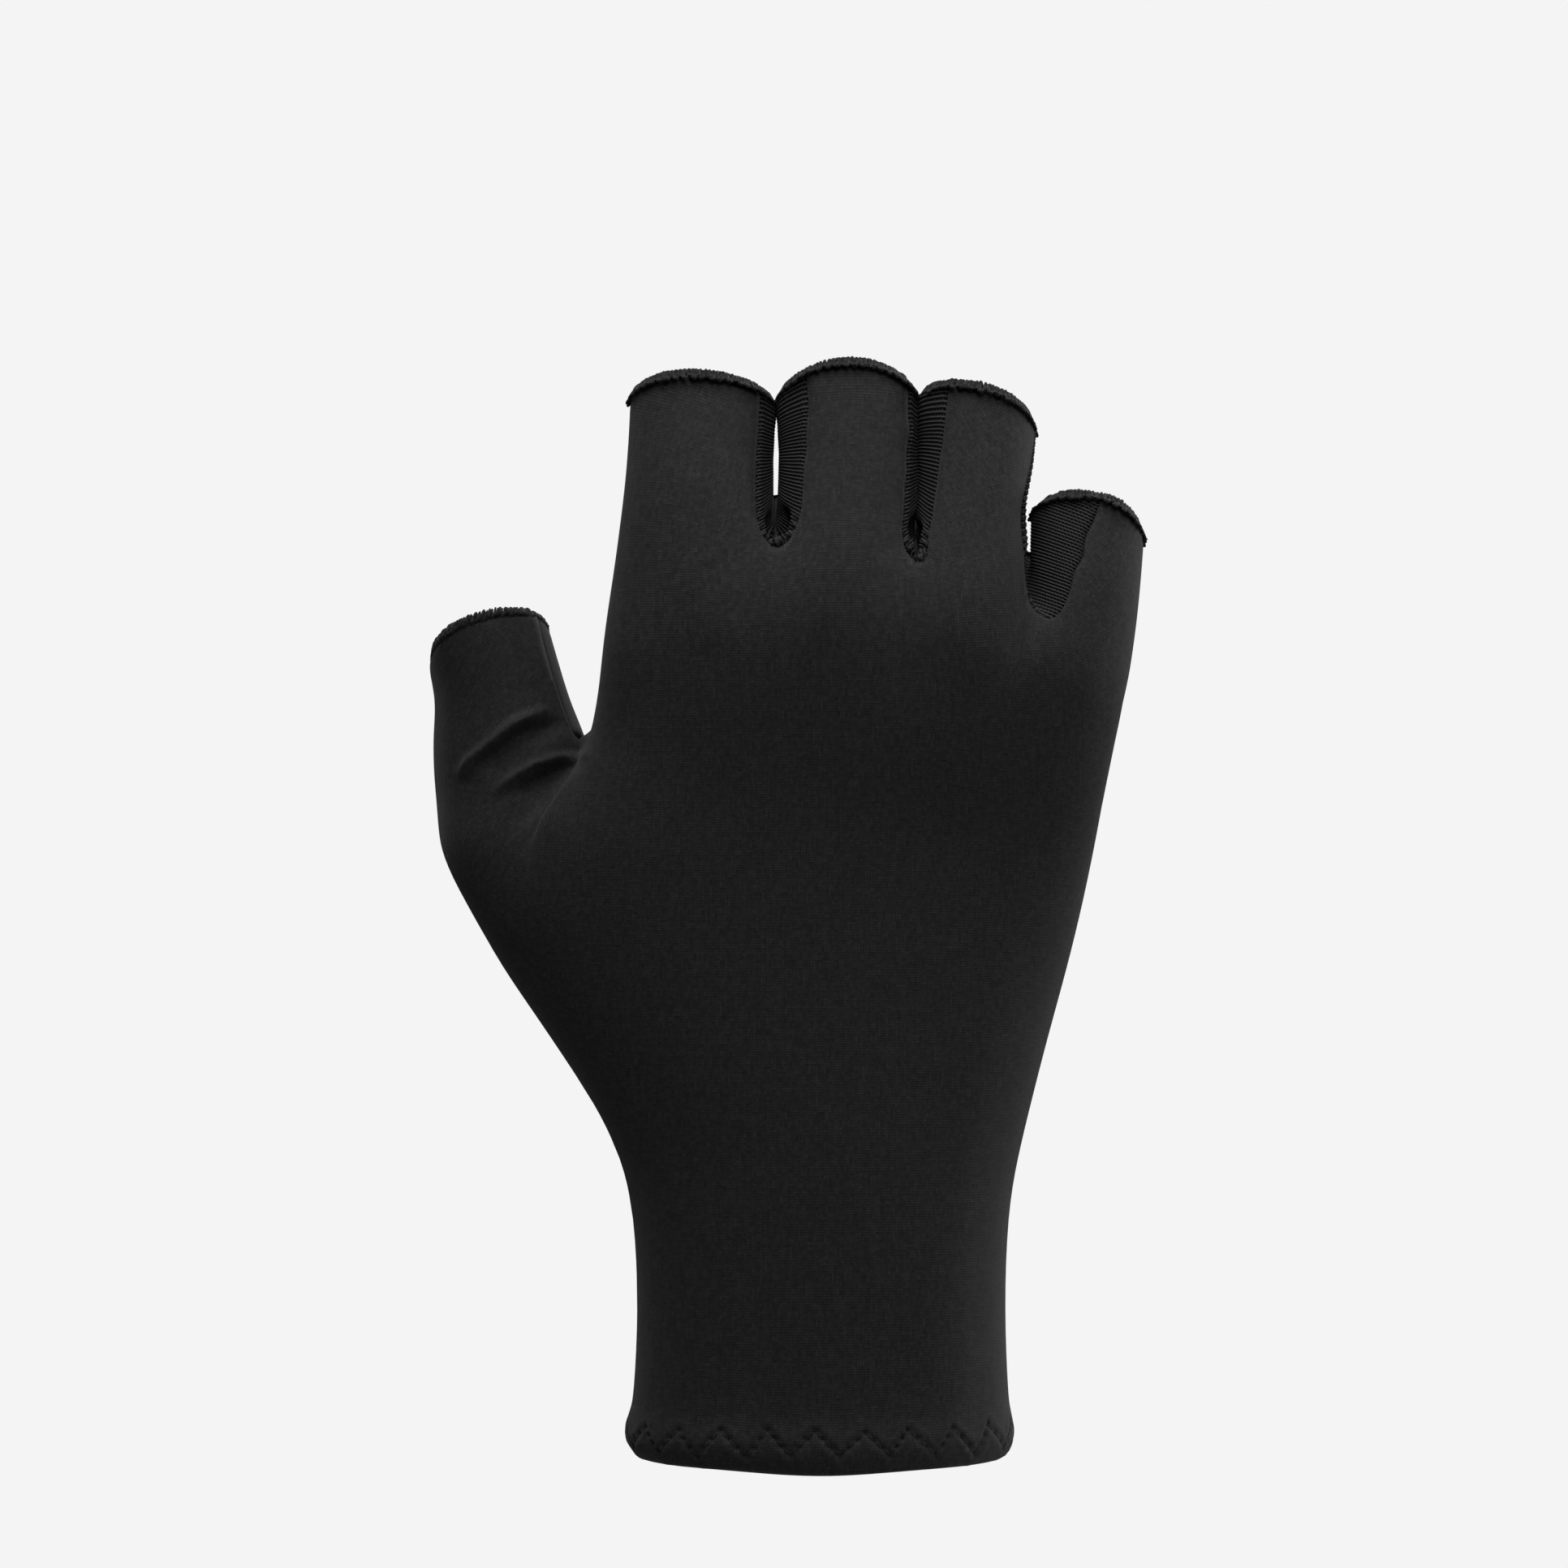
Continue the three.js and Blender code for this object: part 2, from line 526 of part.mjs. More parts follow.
// How far the cloth stands out or sinks at a fold on the thumb's base.
function foldAt(point, normal) {
  return FOLDS.reduce((total, { x, z, toX, toZ, bow, width, rise }) => {
    const length = Math.hypot(toX - x, toZ - z);
    const along = ((point.x - x) * (toX - x) + (point.z - z) * (toZ - z)) / length;
    const across = ((point.z - z) * (toX - x) - (point.x - x) * (toZ - z)) / length;
    const share = along / length;
    if (share <= 0 || share >= 1 || normal.y >= 0) return total;
    const fade = Math.sin(Math.PI * share);
    const away = (across - bow * fade) / width;
    return total - rise * fade * normal.y * Math.exp(-away * away);
  }, 0);
}

function gloveSurface() {
  const surface = new Surface();
  surface.addRows(lowerLanes(), 0, LOWER_ROWS.length - 1);
  surface.addRows(upperLanes(), 0, HAND_ROWS);
  const openings = { thumb: surface.addRows(thumbLanes(), 0, THUMB_ROWS) };
  for (const finger of FINGERS) {
    openings[finger] = surface.addRows(fingerLanes(finger), HAND_ROWS, HAND_ROWS + FINGER_ROWS);
  }
  // The panels meet in the middle of the crotch.
  const crotchPiece = (i, j) => (j < SIDE_COLUMNS / 2 ? 'back_panel' : 'palm_panel');
  surface.addWeb(crotchPiece, CROTCH_COLUMNS, {
    back: (u) => crotchPoint('back', u, LOWER_ROWS.length - 1),
    palm: (u) => crotchPoint('palm', u, LOWER_ROWS.length - 1),
    left: (s) => thumbSidePoint(lerp(THUMB_SEAM, 180 - THUMB_SEAM, s), 0),
    right: (s) => handEdgePoint(s, 0),
  });
  for (const slot of SLOTS) {
    surface.addWeb(() => slotName(slot), SLOT_COLUMNS, {
      back: (u) => slotPoint(slot, 'back', u, HAND_ROWS),
      palm: (u) => slotPoint(slot, 'palm', u, HAND_ROWS),
      left: (s) => slotSidePoint(slot.left, 'right', s, HAND_ROWS),
      right: (s) => slotSidePoint(slot.right, 'left', s, HAND_ROWS),
    });
  }
  const smooth = surface.normals();
  surface.points.forEach((point, i) => {
    point.addScaledVector(smooth[i], swellingAt(point, smooth[i]) + foldAt(point, smooth[i]));
  });
  return { surface, openings };
}

// A closed wall of cloth: the piece's quads, the same quads inside, and walls along its borders.
function clothGeometry(surface, normals, piece) {
  const quads = surface.quads.filter((quad) => quad.piece === piece).map((quad) => quad.corners);
  const edges = new Map();
  for (const corners of quads) {
    corners.forEach((from, i) => {
      const to = corners[(i + 1) % corners.length];
      if (!edges.delete(`${to} ${from}`)) edges.set(`${from} ${to}`, [from, to]);
    });
  }
  const borders = [...edges.values()];

  // A border vertex is drawn in from both of its border edges, so that a seam keeps an even gap.
  const drawn = new Map();
  for (const [from, to] of borders) {
    for (const index of [from, to]) {
      const along = surface.points[to].clone().sub(surface.points[from]);
      const inward = normals[index].clone().cross(along).normalize();
      drawn.set(index, [...(drawn.get(index) ?? []), inward]);
    }
  }
  const outer = (index) => {
    const point = surface.points[index].clone();
    if (!drawn.has(index)) return point;
    const [first, second] = drawn.get(index);
    const inward = first.clone().add(second).normalize();
    return point.addScaledVector(inward, SEAM_GAP / 2 / Math.max(inward.dot(first), 0.5));
  };

  const positions = [];
  const indices = new Map();
  for (const index of new Set(quads.flat())) {
    const point = outer(index);
    const cloth = surface.points[index].z < HEM_HEIGHT ? HEM_CLOTH : CLOTH;
    const inner = point.clone().addScaledVector(normals[index], -cloth);
    indices.set(index, positions.length / 3);
    positions.push(...point.toArray(), ...inner.toArray());
  }
  const out = (index) => indices.get(index);
  const inside = (index) => indices.get(index) + 1;
  const triangles = [];
  for (const [a, b, c, d] of quads) {
    const [p, q, r, s] = [a, b, c, d].map((index) => surface.points[index]);
    const halves = p.distanceTo(r) < q.distanceTo(s) ? [[a, b, c], [a, c, d]] : [[a, b, d], [b, c, d]];
    for (const [i, j, k] of halves) {
      triangles.push(out(i), out(j), out(k), inside(k), inside(j), inside(i));
    }
  }
  // Both pieces at a seam split their twisted walls along the same diagonal, so that these stay apart.
  for (const [from, to] of borders) {
    if (from < to) triangles.push(out(to), out(from), inside(from), out(to), inside(from), inside(to));
    else triangles.push(out(to), out(from), inside(to), out(from), inside(from), inside(to));
  }
  return closedGeometry(positions, triangles);
}

// A thread edge: a closed ring that caps the cut cloth of an opening.
function edgeGeometry(surface, normals, loop, below) {
  const positions = [];
  const triangles = [];
  loop.forEach((index, i) => {
    const point = surface.points[index];
    const normal = normals[index];
    const upward = point.clone().sub(below(index)).normalize();
    upward.addScaledVector(normal, -upward.dot(normal)).normalize();
    const centre = point.clone().addScaledVector(normal, -CLOTH / 2);
    centre.addScaledVector(upward, SEAM_GAP / 2 + EDGE_HEIGHT / 2);
    for (let side = 0; side < EDGE_SIDES; side += 1) {
      const turn = (2 * Math.PI * (side + 0.5)) / EDGE_SIDES;
      const corner = centre.clone().addScaledVector(normal, (EDGE_WIDTH / 2) * Math.cos(turn));
      corner.addScaledVector(upward, (EDGE_HEIGHT / 2) * Math.sin(turn));
      positions.push(...corner.toArray());
      const at = (step, turnBy) =>
        ((i + step) % loop.length) * EDGE_SIDES + ((side + turnBy) % EDGE_SIDES);
      triangles.push(at(0, 0), at(1, 0), at(1, 1), at(0, 0), at(1, 1), at(0, 1));
    }
  });
  return closedGeometry(positions, triangles);
}

function closedGeometry(positions, triangles) {
  const geometry = new THREE.BufferGeometry();
  geometry.setAttribute('position', new THREE.Float32BufferAttribute(positions, 3));
  geometry.setIndex(triangles);
  geometry.computeVertexNormals();
  return geometry;
}

function namedMesh(name, geometry, finish) {
  const mesh = new THREE.Mesh(geometry, new THREE.MeshStandardMaterial({ ...finish, metalness: 0 }));
  mesh.name = name;
  return mesh;
}

// The vertex below each vertex of an opening's loop: the other end of the edge that comes up to it.
function vertexBelow(surface, loop) {
  const rim = new Set(loop);
  const below = new Map();
  for (const { corners } of surface.quads) {
    corners.forEach((index, i) => {
      const other = corners[(i + 3) % corners.length];
      const another = corners[(i + 1) % corners.length];
      if (!rim.has(index)) return;
      if (!rim.has(other)) below.set(index, surface.points[other]);
      if (!rim.has(another)) below.set(index, surface.points[another]);
    });
  }
  return (index) => below.get(index);
}

function buildGlove() {
  const { surface, openings } = gloveSurface();
  const normals = surface.normals();
  const glove = new THREE.Group();
  glove.add(namedMesh('back_panel', clothGeometry(surface, normals, 'back_panel'), FINISHES.backKnit));
  glove.add(namedMesh('palm_panel', clothGeometry(surface, normals, 'palm_panel'), FINISHES.palmKnit));
  for (const name of SLOTS.map(slotName)) {
    glove.add(namedMesh(name, clothGeometry(surface, normals, name), FINISHES.mesh));
  }
  for (const [name, loop] of Object.entries(openings)) {
    const ring = edgeGeometry(surface, normals, loop, vertexBelow(surface, loop));
    glove.add(namedMesh(`${name}_edge`, ring, FINISHES.thread));
  }
  return glove;
}

export default buildGlove();
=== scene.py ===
import math
import random
from contextlib import contextmanager
from functools import partial

import bmesh
import bpy
import numpy as np
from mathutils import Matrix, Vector
from mathutils.bvhtree import BVHTree
from mathutils.kdtree import KDTree


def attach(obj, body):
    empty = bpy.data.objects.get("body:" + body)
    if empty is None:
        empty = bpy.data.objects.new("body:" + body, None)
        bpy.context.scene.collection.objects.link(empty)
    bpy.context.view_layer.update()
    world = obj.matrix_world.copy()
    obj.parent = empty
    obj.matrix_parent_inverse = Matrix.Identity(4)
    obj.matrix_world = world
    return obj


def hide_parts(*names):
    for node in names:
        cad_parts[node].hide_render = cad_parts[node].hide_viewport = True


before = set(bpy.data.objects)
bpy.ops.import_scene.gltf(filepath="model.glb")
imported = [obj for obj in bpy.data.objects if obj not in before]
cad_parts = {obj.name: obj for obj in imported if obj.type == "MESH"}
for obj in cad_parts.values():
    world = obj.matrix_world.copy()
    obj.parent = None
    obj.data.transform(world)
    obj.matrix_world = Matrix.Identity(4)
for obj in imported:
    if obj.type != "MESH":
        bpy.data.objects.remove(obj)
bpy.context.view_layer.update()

# A short-finger cycling glove in its worn form: stretch knit, rib mesh gussets and thread edges.
# Metres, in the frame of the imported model: +Z towards the fingers, -Y out of the back of the hand.
MM = 0.001

# Cloth
WALLS = (1.0 * MM, 2.2 * MM)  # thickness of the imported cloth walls, and of the hem's
KNIT = 0.75 * MM  # thickness of the knit
MESH = 0.6 * MM  # thickness of the gussets
STITCH = 0.42  # size of a knit stitch, in millimetres
RIB = 0.54  # pitch of the gussets' ribs, in millimetres
SEAM_EASE = 0.14 * MM  # each sewn border grows by this, which closes the gap at the seams
EDGE_EASE = 1.15 * MM  # each border at an opening grows by this, up into its thread edge
EDGE_SINK = 0.2 * MM  # how far a border at an opening turns inwards
MOUTH_STRETCH = 5 * MM  # how far from an opening the cloth is stretched up into its edge
SEAM_SINK = {"back_panel": 0.05 * MM, "palm_panel": 0.3 * MM}  # how far a sewn border turns inwards
SEAM_REACH = 3 * MM  # the widest gap at a seam that is drawn together
HEM_TOP = 8.8 * MM
HEM_BOTTOM = 1.4 * MM  # the wrist's border lies below this
MOUTH_REACH = 1.8 * MM  # how near the thread edges the borders of the openings lie
SEAM_FADE = 0.5 * MM  # how far from a sewn border its turning in fades
MOUTH_FADE = 0.8 * MM
MERGING = 0.001 * MM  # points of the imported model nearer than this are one
LONG_EDGE = 0.75 * MM  # an edge longer than this is split where the cloth is refined
OPENINGS = ("thumb", "index", "middle", "ring", "little")
GUSSETS = ("index_middle", "middle_ring", "ring_little")

# A point on the outer face of each cloth wall, the way that it faces there, and the sharpest fold in it.
OUTER_FACES = {
    "back_panel": ((0, -0.018, 0.06), (0, -1, 0), 70),
    "palm_panel": ((0, 0.018, 0.06), (0, 1, 0), 70),
    "fourchette_index_middle": ((-0.007, -0.002, 0.156), (0, 0, 1), 180),
    "fourchette_middle_ring": ((0.0165, -0.002, 0.154), (0, 0, 1), 180),
    "fourchette_ring_little": ((0.0355, -0.002, 0.144), (0, 0, 1), 180),
}


# Working on a piece

def make_active(piece):
    bpy.ops.object.select_all(action="DESELECT")
    piece.select_set(True)
    bpy.context.view_layer.objects.active = piece


def in_edit_mode(piece, work):
    make_active(piece)
    bpy.ops.object.mode_set(mode="EDIT")
    bpy.ops.mesh.select_all(action="SELECT")
    work()
    bpy.ops.object.mode_set(mode="OBJECT")


def new_object(name, data):
    piece = bpy.data.objects.new(name, data)
    bpy.context.scene.collection.objects.link(piece)
    return piece


def apply_modifier(piece, kind, **settings):
    make_active(piece)
    modifier = piece.modifiers.new(kind.lower(), kind)
    for name, value in settings.items():
        setattr(modifier, name, value)
    bpy.ops.object.modifier_apply(modifier=modifier.name)


def subdivide_smoothly(piece, levels):
    apply_modifier(piece, "SUBSURF", levels=levels, render_levels=levels,
                   uv_smooth="PRESERVE_BOUNDARIES", boundary_smooth="PRESERVE_CORNERS")


def rows_of(items, name, width, kind=np.float32):
    flat = np.zeros(len(items) * width, kind)
    items.foreach_get(name, flat)
    return flat.reshape(-1, width)


def points_of(piece):
    return rows_of(piece.data.vertices, "co", 3).astype(float)


def normals_of(piece):
    return rows_of(piece.data.vertex_normals, "vector", 3).astype(float)


def corners_of(piece):
    return rows_of(piece.data.loops, "vertex_index", 1, np.int32)[:, 0]


def move_points(piece, points):
    piece.data.vertices.foreach_set("co", points.astype(np.float32).ravel())
    piece.data.update()


def map_of(piece):
    """Each vertex's place on the flat cloth, in millimetres."""
    flat = np.zeros((len(piece.data.vertices), 2))
    flat[corners_of(piece)] = rows_of(piece.data.uv_layers.active.data, "uv", 2)
    return flat


def set_map(piece, change):
    places = piece.data.uv_layers.active.data
    places.foreach_set("uv", change(rows_of(places, "uv", 2)).astype(np.float32).ravel())


@contextmanager
def form_of(piece):
    """The faces, edges and points of a piece, open to changes that are then kept."""
    form = bmesh.new()
    form.from_mesh(piece.data)
    yield form
    form.to_mesh(piece.data)
    form.free()


def eased(value):
    """Runs smoothly from 0 to 1 as the value does."""
    value = np.clip(value, 0, 1)
    return value * value * (3 - 2 * value)


def finish(piece, node, material, inside=None):
    """Gives a piece its material, and a second one to the faces marked for it."""
    marks = [face.material_index for face in piece.data.polygons]
    piece.data.materials.clear()
    piece.data.materials.append(material)
    if inside:
        piece.data.materials.append(inside)
    for face, mark in zip(piece.data.polygons, marks):
        face.use_smooth = True
        face.material_index = mark if inside else 0
    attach(piece, "root")
    if node:
        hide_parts(node)
    return piece


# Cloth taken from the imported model

def packed_copy(node, name):
    """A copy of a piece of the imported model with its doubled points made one."""
    piece = new_object(name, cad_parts[node].data.copy())
    with form_of(piece) as form:
        bmesh.ops.remove_doubles(form, verts=form.verts, dist=MERGING)
    return piece


def make_quads(piece):
    turned = math.radians(180)
    in_edit_mode(piece, lambda: bpy.ops.mesh.tris_convert_to_quads(
        face_threshold=turned, shape_threshold=turned, topology_influence=1.3))


def outer_face(node, name):
    """The outer face of a packed cloth wall, as one open sheet of quads."""
    place, facing, sharpest = OUTER_FACES[node]
    place, facing = Vector(place), Vector(facing)
    piece = packed_copy(node, name)

    # A border face is known by an edge that goes straight through the cloth.
    def is_border(face):
        return any(abs(edge.calc_length() - wall) < 0.0005 * MM for edge in face.edges for wall in WALLS)

    with form_of(piece) as form:
        borders = {face for face in form.faces if is_border(face)}
        facing_out = [face for face in form.faces if face not in borders and face.normal.dot(facing) > 0.5]
        first = min(facing_out, key=lambda face: (face.calc_center_median() - place).length)
        found, waiting = {first}, [first]
        while waiting:
            for edge in waiting.pop().edges:
                if edge.calc_face_angle(0) > math.radians(sharpest):
                    continue
                for face in edge.link_faces:
                    if face not in found and face not in borders:
                        found.add(face)
                        waiting.append(face)
        bmesh.ops.delete(form, geom=[face for face in form.faces if face not in found], context="FACES")
    make_quads(piece)
    return piece


def drawn_to_flat(piece):
    """How many times larger the piece is in millimetres than on its map."""
    drawn = sum(face.area for face in piece.data.polygons) / MM ** 2
    return math.sqrt(drawn / flat_area(piece))


def flatten_panel(piece):
    """Lays a panel flat as its pattern: across is the first direction and up the hand the second."""
    piece.data.uv_layers.new(name="cloth")
    in_edit_mode(piece, lambda: bpy.ops.uv.unwrap(method="MINIMUM_STRETCH", iterations=20))
    flat = map_of(piece)
    seen = points_of(piece)[:, (0, 2)] / MM
    centre, place = flat.mean(0), seen.mean(0)
    turn, _, back = np.linalg.svd((flat - centre).T @ (seen - place))
    scale = drawn_to_flat(piece)
    set_map(piece, lambda places: (places - centre) @ (turn @ back) * scale + place)


def flat_area(piece):
    places = piece.data.uv_layers.active.data
    total = 0.0
    for face in piece.data.polygons:
        corners = [places[i].uv for i in face.loop_indices]
        for one, two in zip(corners[1:], corners[2:]):
            total += abs((one - corners[0]).cross(two - corners[0])) / 2
    return total


def flatten_strip(piece):
    """Lays a gusset flat: along the strip first, and from the back of the hand to the palm second."""
    piece.data.uv_layers.new(name="cloth")
    piece.data.polygons.active = 0

    def follow():
        bpy.ops.uv.select_all(action="SELECT")
        bpy.ops.uv.follow_active_quads(mode="LENGTH_AVERAGE")

    in_edit_mode(piece, follow)
    flat = map_of(piece)
    points = points_of(piece)
    if np.ptp(flat[:, 0]) < np.ptp(flat[:, 1]):
        set_map(piece, lambda places: places[:, ::-1])
        flat = map_of(piece)
    along = np.sign(np.corrcoef(flat[:, 0], points[:, 0])[0, 1])
    across = np.sign(np.corrcoef(flat[:, 1], points[:, 1])[0, 1])
    set_map(piece, lambda places: places * (along, across))
    scale = drawn_to_flat(piece)
    low = map_of(piece).min(0)
    set_map(piece, lambda places: (places - low) * scale)


def nearest_of(points):
    """A quick search for the nearest of many points."""
    tree = KDTree(len(points))
    for index, point in enumerate(points):
        tree.insert(point, index)
    tree.balance()
    return tree


def border_ways(piece, wanted):
    """The border points of an open sheet whose edges are wanted, with the way out of the sheet at each."""
    form = bmesh.new()
    form.from_mesh(piece.data)
    ways = {}
    for edge in form.edges:
        if edge.is_boundary and wanted(edge):
            one, two = edge.verts
            along = (two.co - one.co).normalized()
            out = (one.co + two.co) / 2 - edge.link_faces[0].calc_center_median()
            out = (out - out.dot(along) * along).normalized()
            for vertex in edge.verts:
                ways[vertex.index] = ways.get(vertex.index, Vector()) + out
    form.free()
    return {index: np.array(way.normalized()) for index, way in ways.items()}


def is_wrist(edge):
    return all(vertex.co.z < HEM_BOTTOM for vertex in edge.verts)


def is_mouth(edge):
    """Whether a border edge runs along the thread edge of a thumb or finger opening."""
    one, two = [EDGE_LINES.find(vertex.co) for vertex in edge.verts]
    beside = max(one[2], two[2]) < MOUTH_REACH
    return beside and (one[0] - two[0]).length > 0.5 * edge.calc_length()


def is_sewn(edge):
    return not is_wrist(edge) and not is_mouth(edge)


def close_seams(skins):
    """Draws the sewn borders of neighbouring sheets together, half the way from each side."""
    rims = [points_of(skin)[list(border_ways(skin, is_sewn))] for skin in skins]
    edges = []
    for skin in skins:
        points = points_of(skin)
        pairs = [edge.vertices for edge in skin.data.edges]
        rim = set(border_ways(skin, is_sewn))
        edges.append([points[one] * (1 - part) + points[two] * part
                      for one, two in pairs if one in rim and two in rim for part in (0, 0.25, 0.5, 0.75)])
    for number, skin in enumerate(skins):
        others = nearest_of([point for index, row in enumerate(edges) if index != number for point in row])
        moves = []
        for point in rims[number]:
            meeting, _, away = others.find(point)
            moves.append((np.array(meeting) - point) / 2 if away < SEAM_REACH else np.zeros(3))
        own = nearest_of(rims[number])
        points = points_of(skin)
        for index, point in enumerate(points):
            _, nearest, away = own.find(point)
            if away < SEAM_REACH:
                points[index] += moves[nearest] * (1 - eased(away / SEAM_REACH))
        move_points(skin, points)


def ease_borders(piece, sewn_ease=SEAM_EASE):
    """Grows a sheet a little along its seams, and stretches it up into the thread edges at its openings."""
    before = points_of(piece)
    points = before.copy()
    for index, way in border_ways(piece, is_sewn).items():
        points[index] += way * sewn_ease
    mouth = border_ways(piece, is_mouth)
    tree = nearest_of(before[list(mouth)])
    ways = list(mouth.values())
    for index, point in enumerate(before):
        _, nearest, away = tree.find(point)
        if away < MOUTH_STRETCH:
            points[index] += ways[nearest] * EDGE_EASE * (1 - eased(away / MOUTH_STRETCH))
    move_points(piece, points)


def sink_borders(piece, sewn_border, depth):
    """Turns the borders of a sheet inwards a little."""
    lower_near(piece, sewn_border, depth, SEAM_FADE)
    lower_near(piece, border_points(piece, is_mouth), EDGE_SINK, MOUTH_FADE)


def border_points(piece, wanted):
    return points_of(piece)[list(border_ways(piece, wanted))]


def lower_near(piece, line, depth, reach):
    """Lowers a sheet along a line of points."""
    tree = nearest_of(line)
    points, normals = points_of(piece), normals_of(piece)
    for index, point in enumerate(points):
        away = tree.find(point)[2]
        if away < 4 * reach:
            points[index] -= normals[index] * depth * math.exp(-(away / reach) ** 2)
    move_points(piece, points)


def refine_where(piece, chosen_face, cuts):
    """Splits the long edges of the chosen faces."""
    with form_of(piece) as form:
        faces = [face for face in form.faces if chosen_face(face.calc_center_median(), face.normal)]
        near = {edge for face in faces for edge in face.edges}
        chosen = [edge for edge in form.edges if edge in near and edge.calc_length() > LONG_EDGE]
        bmesh.ops.subdivide_edges(form, edges=chosen, cuts=cuts, use_grid_fill=True)


def thicken(piece, thickness):
    """Gives an open sheet its thickness inwards, and marks the faces round its border."""
    for face in piece.data.polygons:
        face.material_index = 0
    for _ in range(2):
        piece.data.materials.append(None)
    # The marked rim faces take the second material, the painted seam shade.
    apply_modifier(
        piece, "SOLIDIFY", thickness=thickness, offset=-1, use_even_offset=False, material_offset_rim=1)


def size_on_map(piece, layers):
    return np.ptp(map_of(piece), 0), flat_area(piece) / layers


def declare_sheet(piece, mapped=None):
    """Works out the cut size of a sheet of cloth, which is smaller than it is when a hand stretches it, and
    does nothing more with it.
    """
    spread, area = mapped or size_on_map(piece, 2)


# Materials

def feed(tree, node, **inputs):
    """Gives a node's inputs their values, or links to the outputs that have them."""
    for name, value in inputs.items():
        socket = node.inputs[name.replace("_", " ")]
        if isinstance(value, bpy.types.NodeSocket):
            tree.links.new(value, socket)
        else:
            socket.default_value = value


def add(tree, kind, **settings):
    node = tree.nodes.new(kind)
    for name, value in settings.items():
        setattr(node, name, value)
    return node


def math_node(tree, operation, *values):
    node = add(tree, "ShaderNodeMath", operation=operation)
    for socket, value in zip(node.inputs, values):
        if isinstance(value, (int, float)):
            socket.default_value = value
        else:
            tree.links.new(value, socket)
    return node.outputs[0]


def arithmetic(tree):
    """Ways to add, subtract, multiply, divide and raise values to a power in a node tree."""
    return [partial(math_node, tree, kind) for kind in ("ADD", "SUBTRACT", "MULTIPLY", "DIVIDE", "POWER")]


def rest_of(tree, value):
    return math_node(tree, "FRACT", value)


def arch(tree, value):
    """Rises from 0 to 1 and falls back to 0 as the value goes from 0 to 1."""
    return math_node(tree, "SINE", math_node(tree, "MULTIPLY", value, math.pi))


def noise(tree, place, scale, detail=2, **settings):
    node = add(tree, "ShaderNodeTexNoise", **settings)
    feed(tree, node, Vector=place, Scale=scale, Detail=detail)
    return node.outputs[0]


def separated(tree, vector):
    node = add(tree, "ShaderNodeSeparateXYZ")
    tree.links.new(vector, node.inputs[0])
    return node.outputs


def map_range(tree, value, **ends):
    """Carries a value smoothly from one range into another."""
    node = add(tree, "ShaderNodeMapRange", interpolation_type="SMOOTHSTEP")
    feed(tree, node, Value=value, **ends)
    return node.outputs[0]


def node_group(name, place, values, results):
    """An empty group that takes a place and some values and gives some other values."""
    group = bpy.data.node_groups.new(name, "ShaderNodeTree")
    group.interface.new_socket(name=place, in_out="INPUT", socket_type="NodeSocketVector")
    for label, value in values.items():
        socket = group.interface.new_socket(name=label, in_out="INPUT", socket_type="NodeSocketFloat")
        socket.default_value = value
    for label in results:
        group.interface.new_socket(name=label, in_out="OUTPUT", socket_type="NodeSocketFloat")
    return group, add(group, "NodeGroupInput").outputs, add(group, "NodeGroupOutput").inputs


def knit_group():
    """Columns of small V stitches on the flat cloth, in millimetres."""
    values = {"Wale": STITCH, "Course": STITCH, "Uneven": 0.26}
    group, given, out = node_group("knit_stitches", "Cloth", values, ("Height", "Shade"))
    plus, minus, times, over, power = arithmetic(group)
    wander = noise(group, given["Cloth"], 0.35, noise_dimensions="2D")
    place = separated(group, given["Cloth"])
    drift = times(minus(wander, 0.5), 0.5)
    across = over(plus(place[0], drift), given["Wale"])
    leg = rest_of(group, across)
    side = times(math_node(group, "ABSOLUTE", minus(leg, 0.5)), 2)
    row = over(place[1], given["Course"])
    loop = arch(group, rest_of(group, plus(row, times(side, 0.6))))
    ridge = arch(group, rest_of(group, times(leg, 2)))
    yarn = times(power(ridge, 0.4), power(loop, 0.8))
    height = plus(times(yarn, 0.8), times(arch(group, leg), 0.2))
    # Painted shade: the knit is painted darker where the yarn lies low between the loops.
    shade = plus(0.2, times(height, 1.25))
    # Short runs of stitches along the rows and the columns are a little lighter or darker.
    for columns, rows, seed in ((2, 1, 0), (1, 3, 31), (1, 1, 57)):
        run = add(group, "ShaderNodeCombineXYZ")
        for axis, (number, size) in enumerate(((across, columns), (row, rows))):
            group.links.new(math_node(group, "FLOOR", plus(over(number, size), seed)), run.inputs[axis])
        tone = add(group, "ShaderNodeTexWhiteNoise", noise_dimensions="2D")
        group.links.new(run.outputs[0], tone.inputs["Vector"])
        uneven = times(minus(tone.outputs["Value"], 0.5), given["Uneven"])
        shade = times(shade, plus(1, uneven))
    group.links.new(height, out["Height"])
    group.links.new(shade, out["Shade"])
    return group


def mesh_group():
    """Ribs across a gusset strip with staggered holes between them, in millimetres."""
    values = {"Rib": RIB, "Hole": 0.47, "Closed": 0.3, "Border": 0.3}
    group, given, out = node_group("rib_mesh", "Cloth", values, ("Height", "Hole"))
    plus, minus, times, over, power = arithmetic(group)
    place = separated(group, given["Cloth"])
    row = over(place[0], given["Rib"])
    groove = arch(group, rest_of(group, row))
    step = times(math_node(group, "MODULO", math_node(group, "FLOOR", row), 2), 0.5)
    across = arch(group, rest_of(group, plus(over(place[1], given["Hole"]), step)))
    hole = times(power(groove, 1.5), power(across, 1.5))
    inside = math_node(group, "GREATER_THAN", place[1], given["Border"])
    sharp = map_range(
        group, times(hole, inside), From_Min=given["Closed"], From_Max=plus(given["Closed"], 0.15))
    group.links.new(minus(1, groove), out["Height"])
    group.links.new(sharp, out["Hole"])
    return group


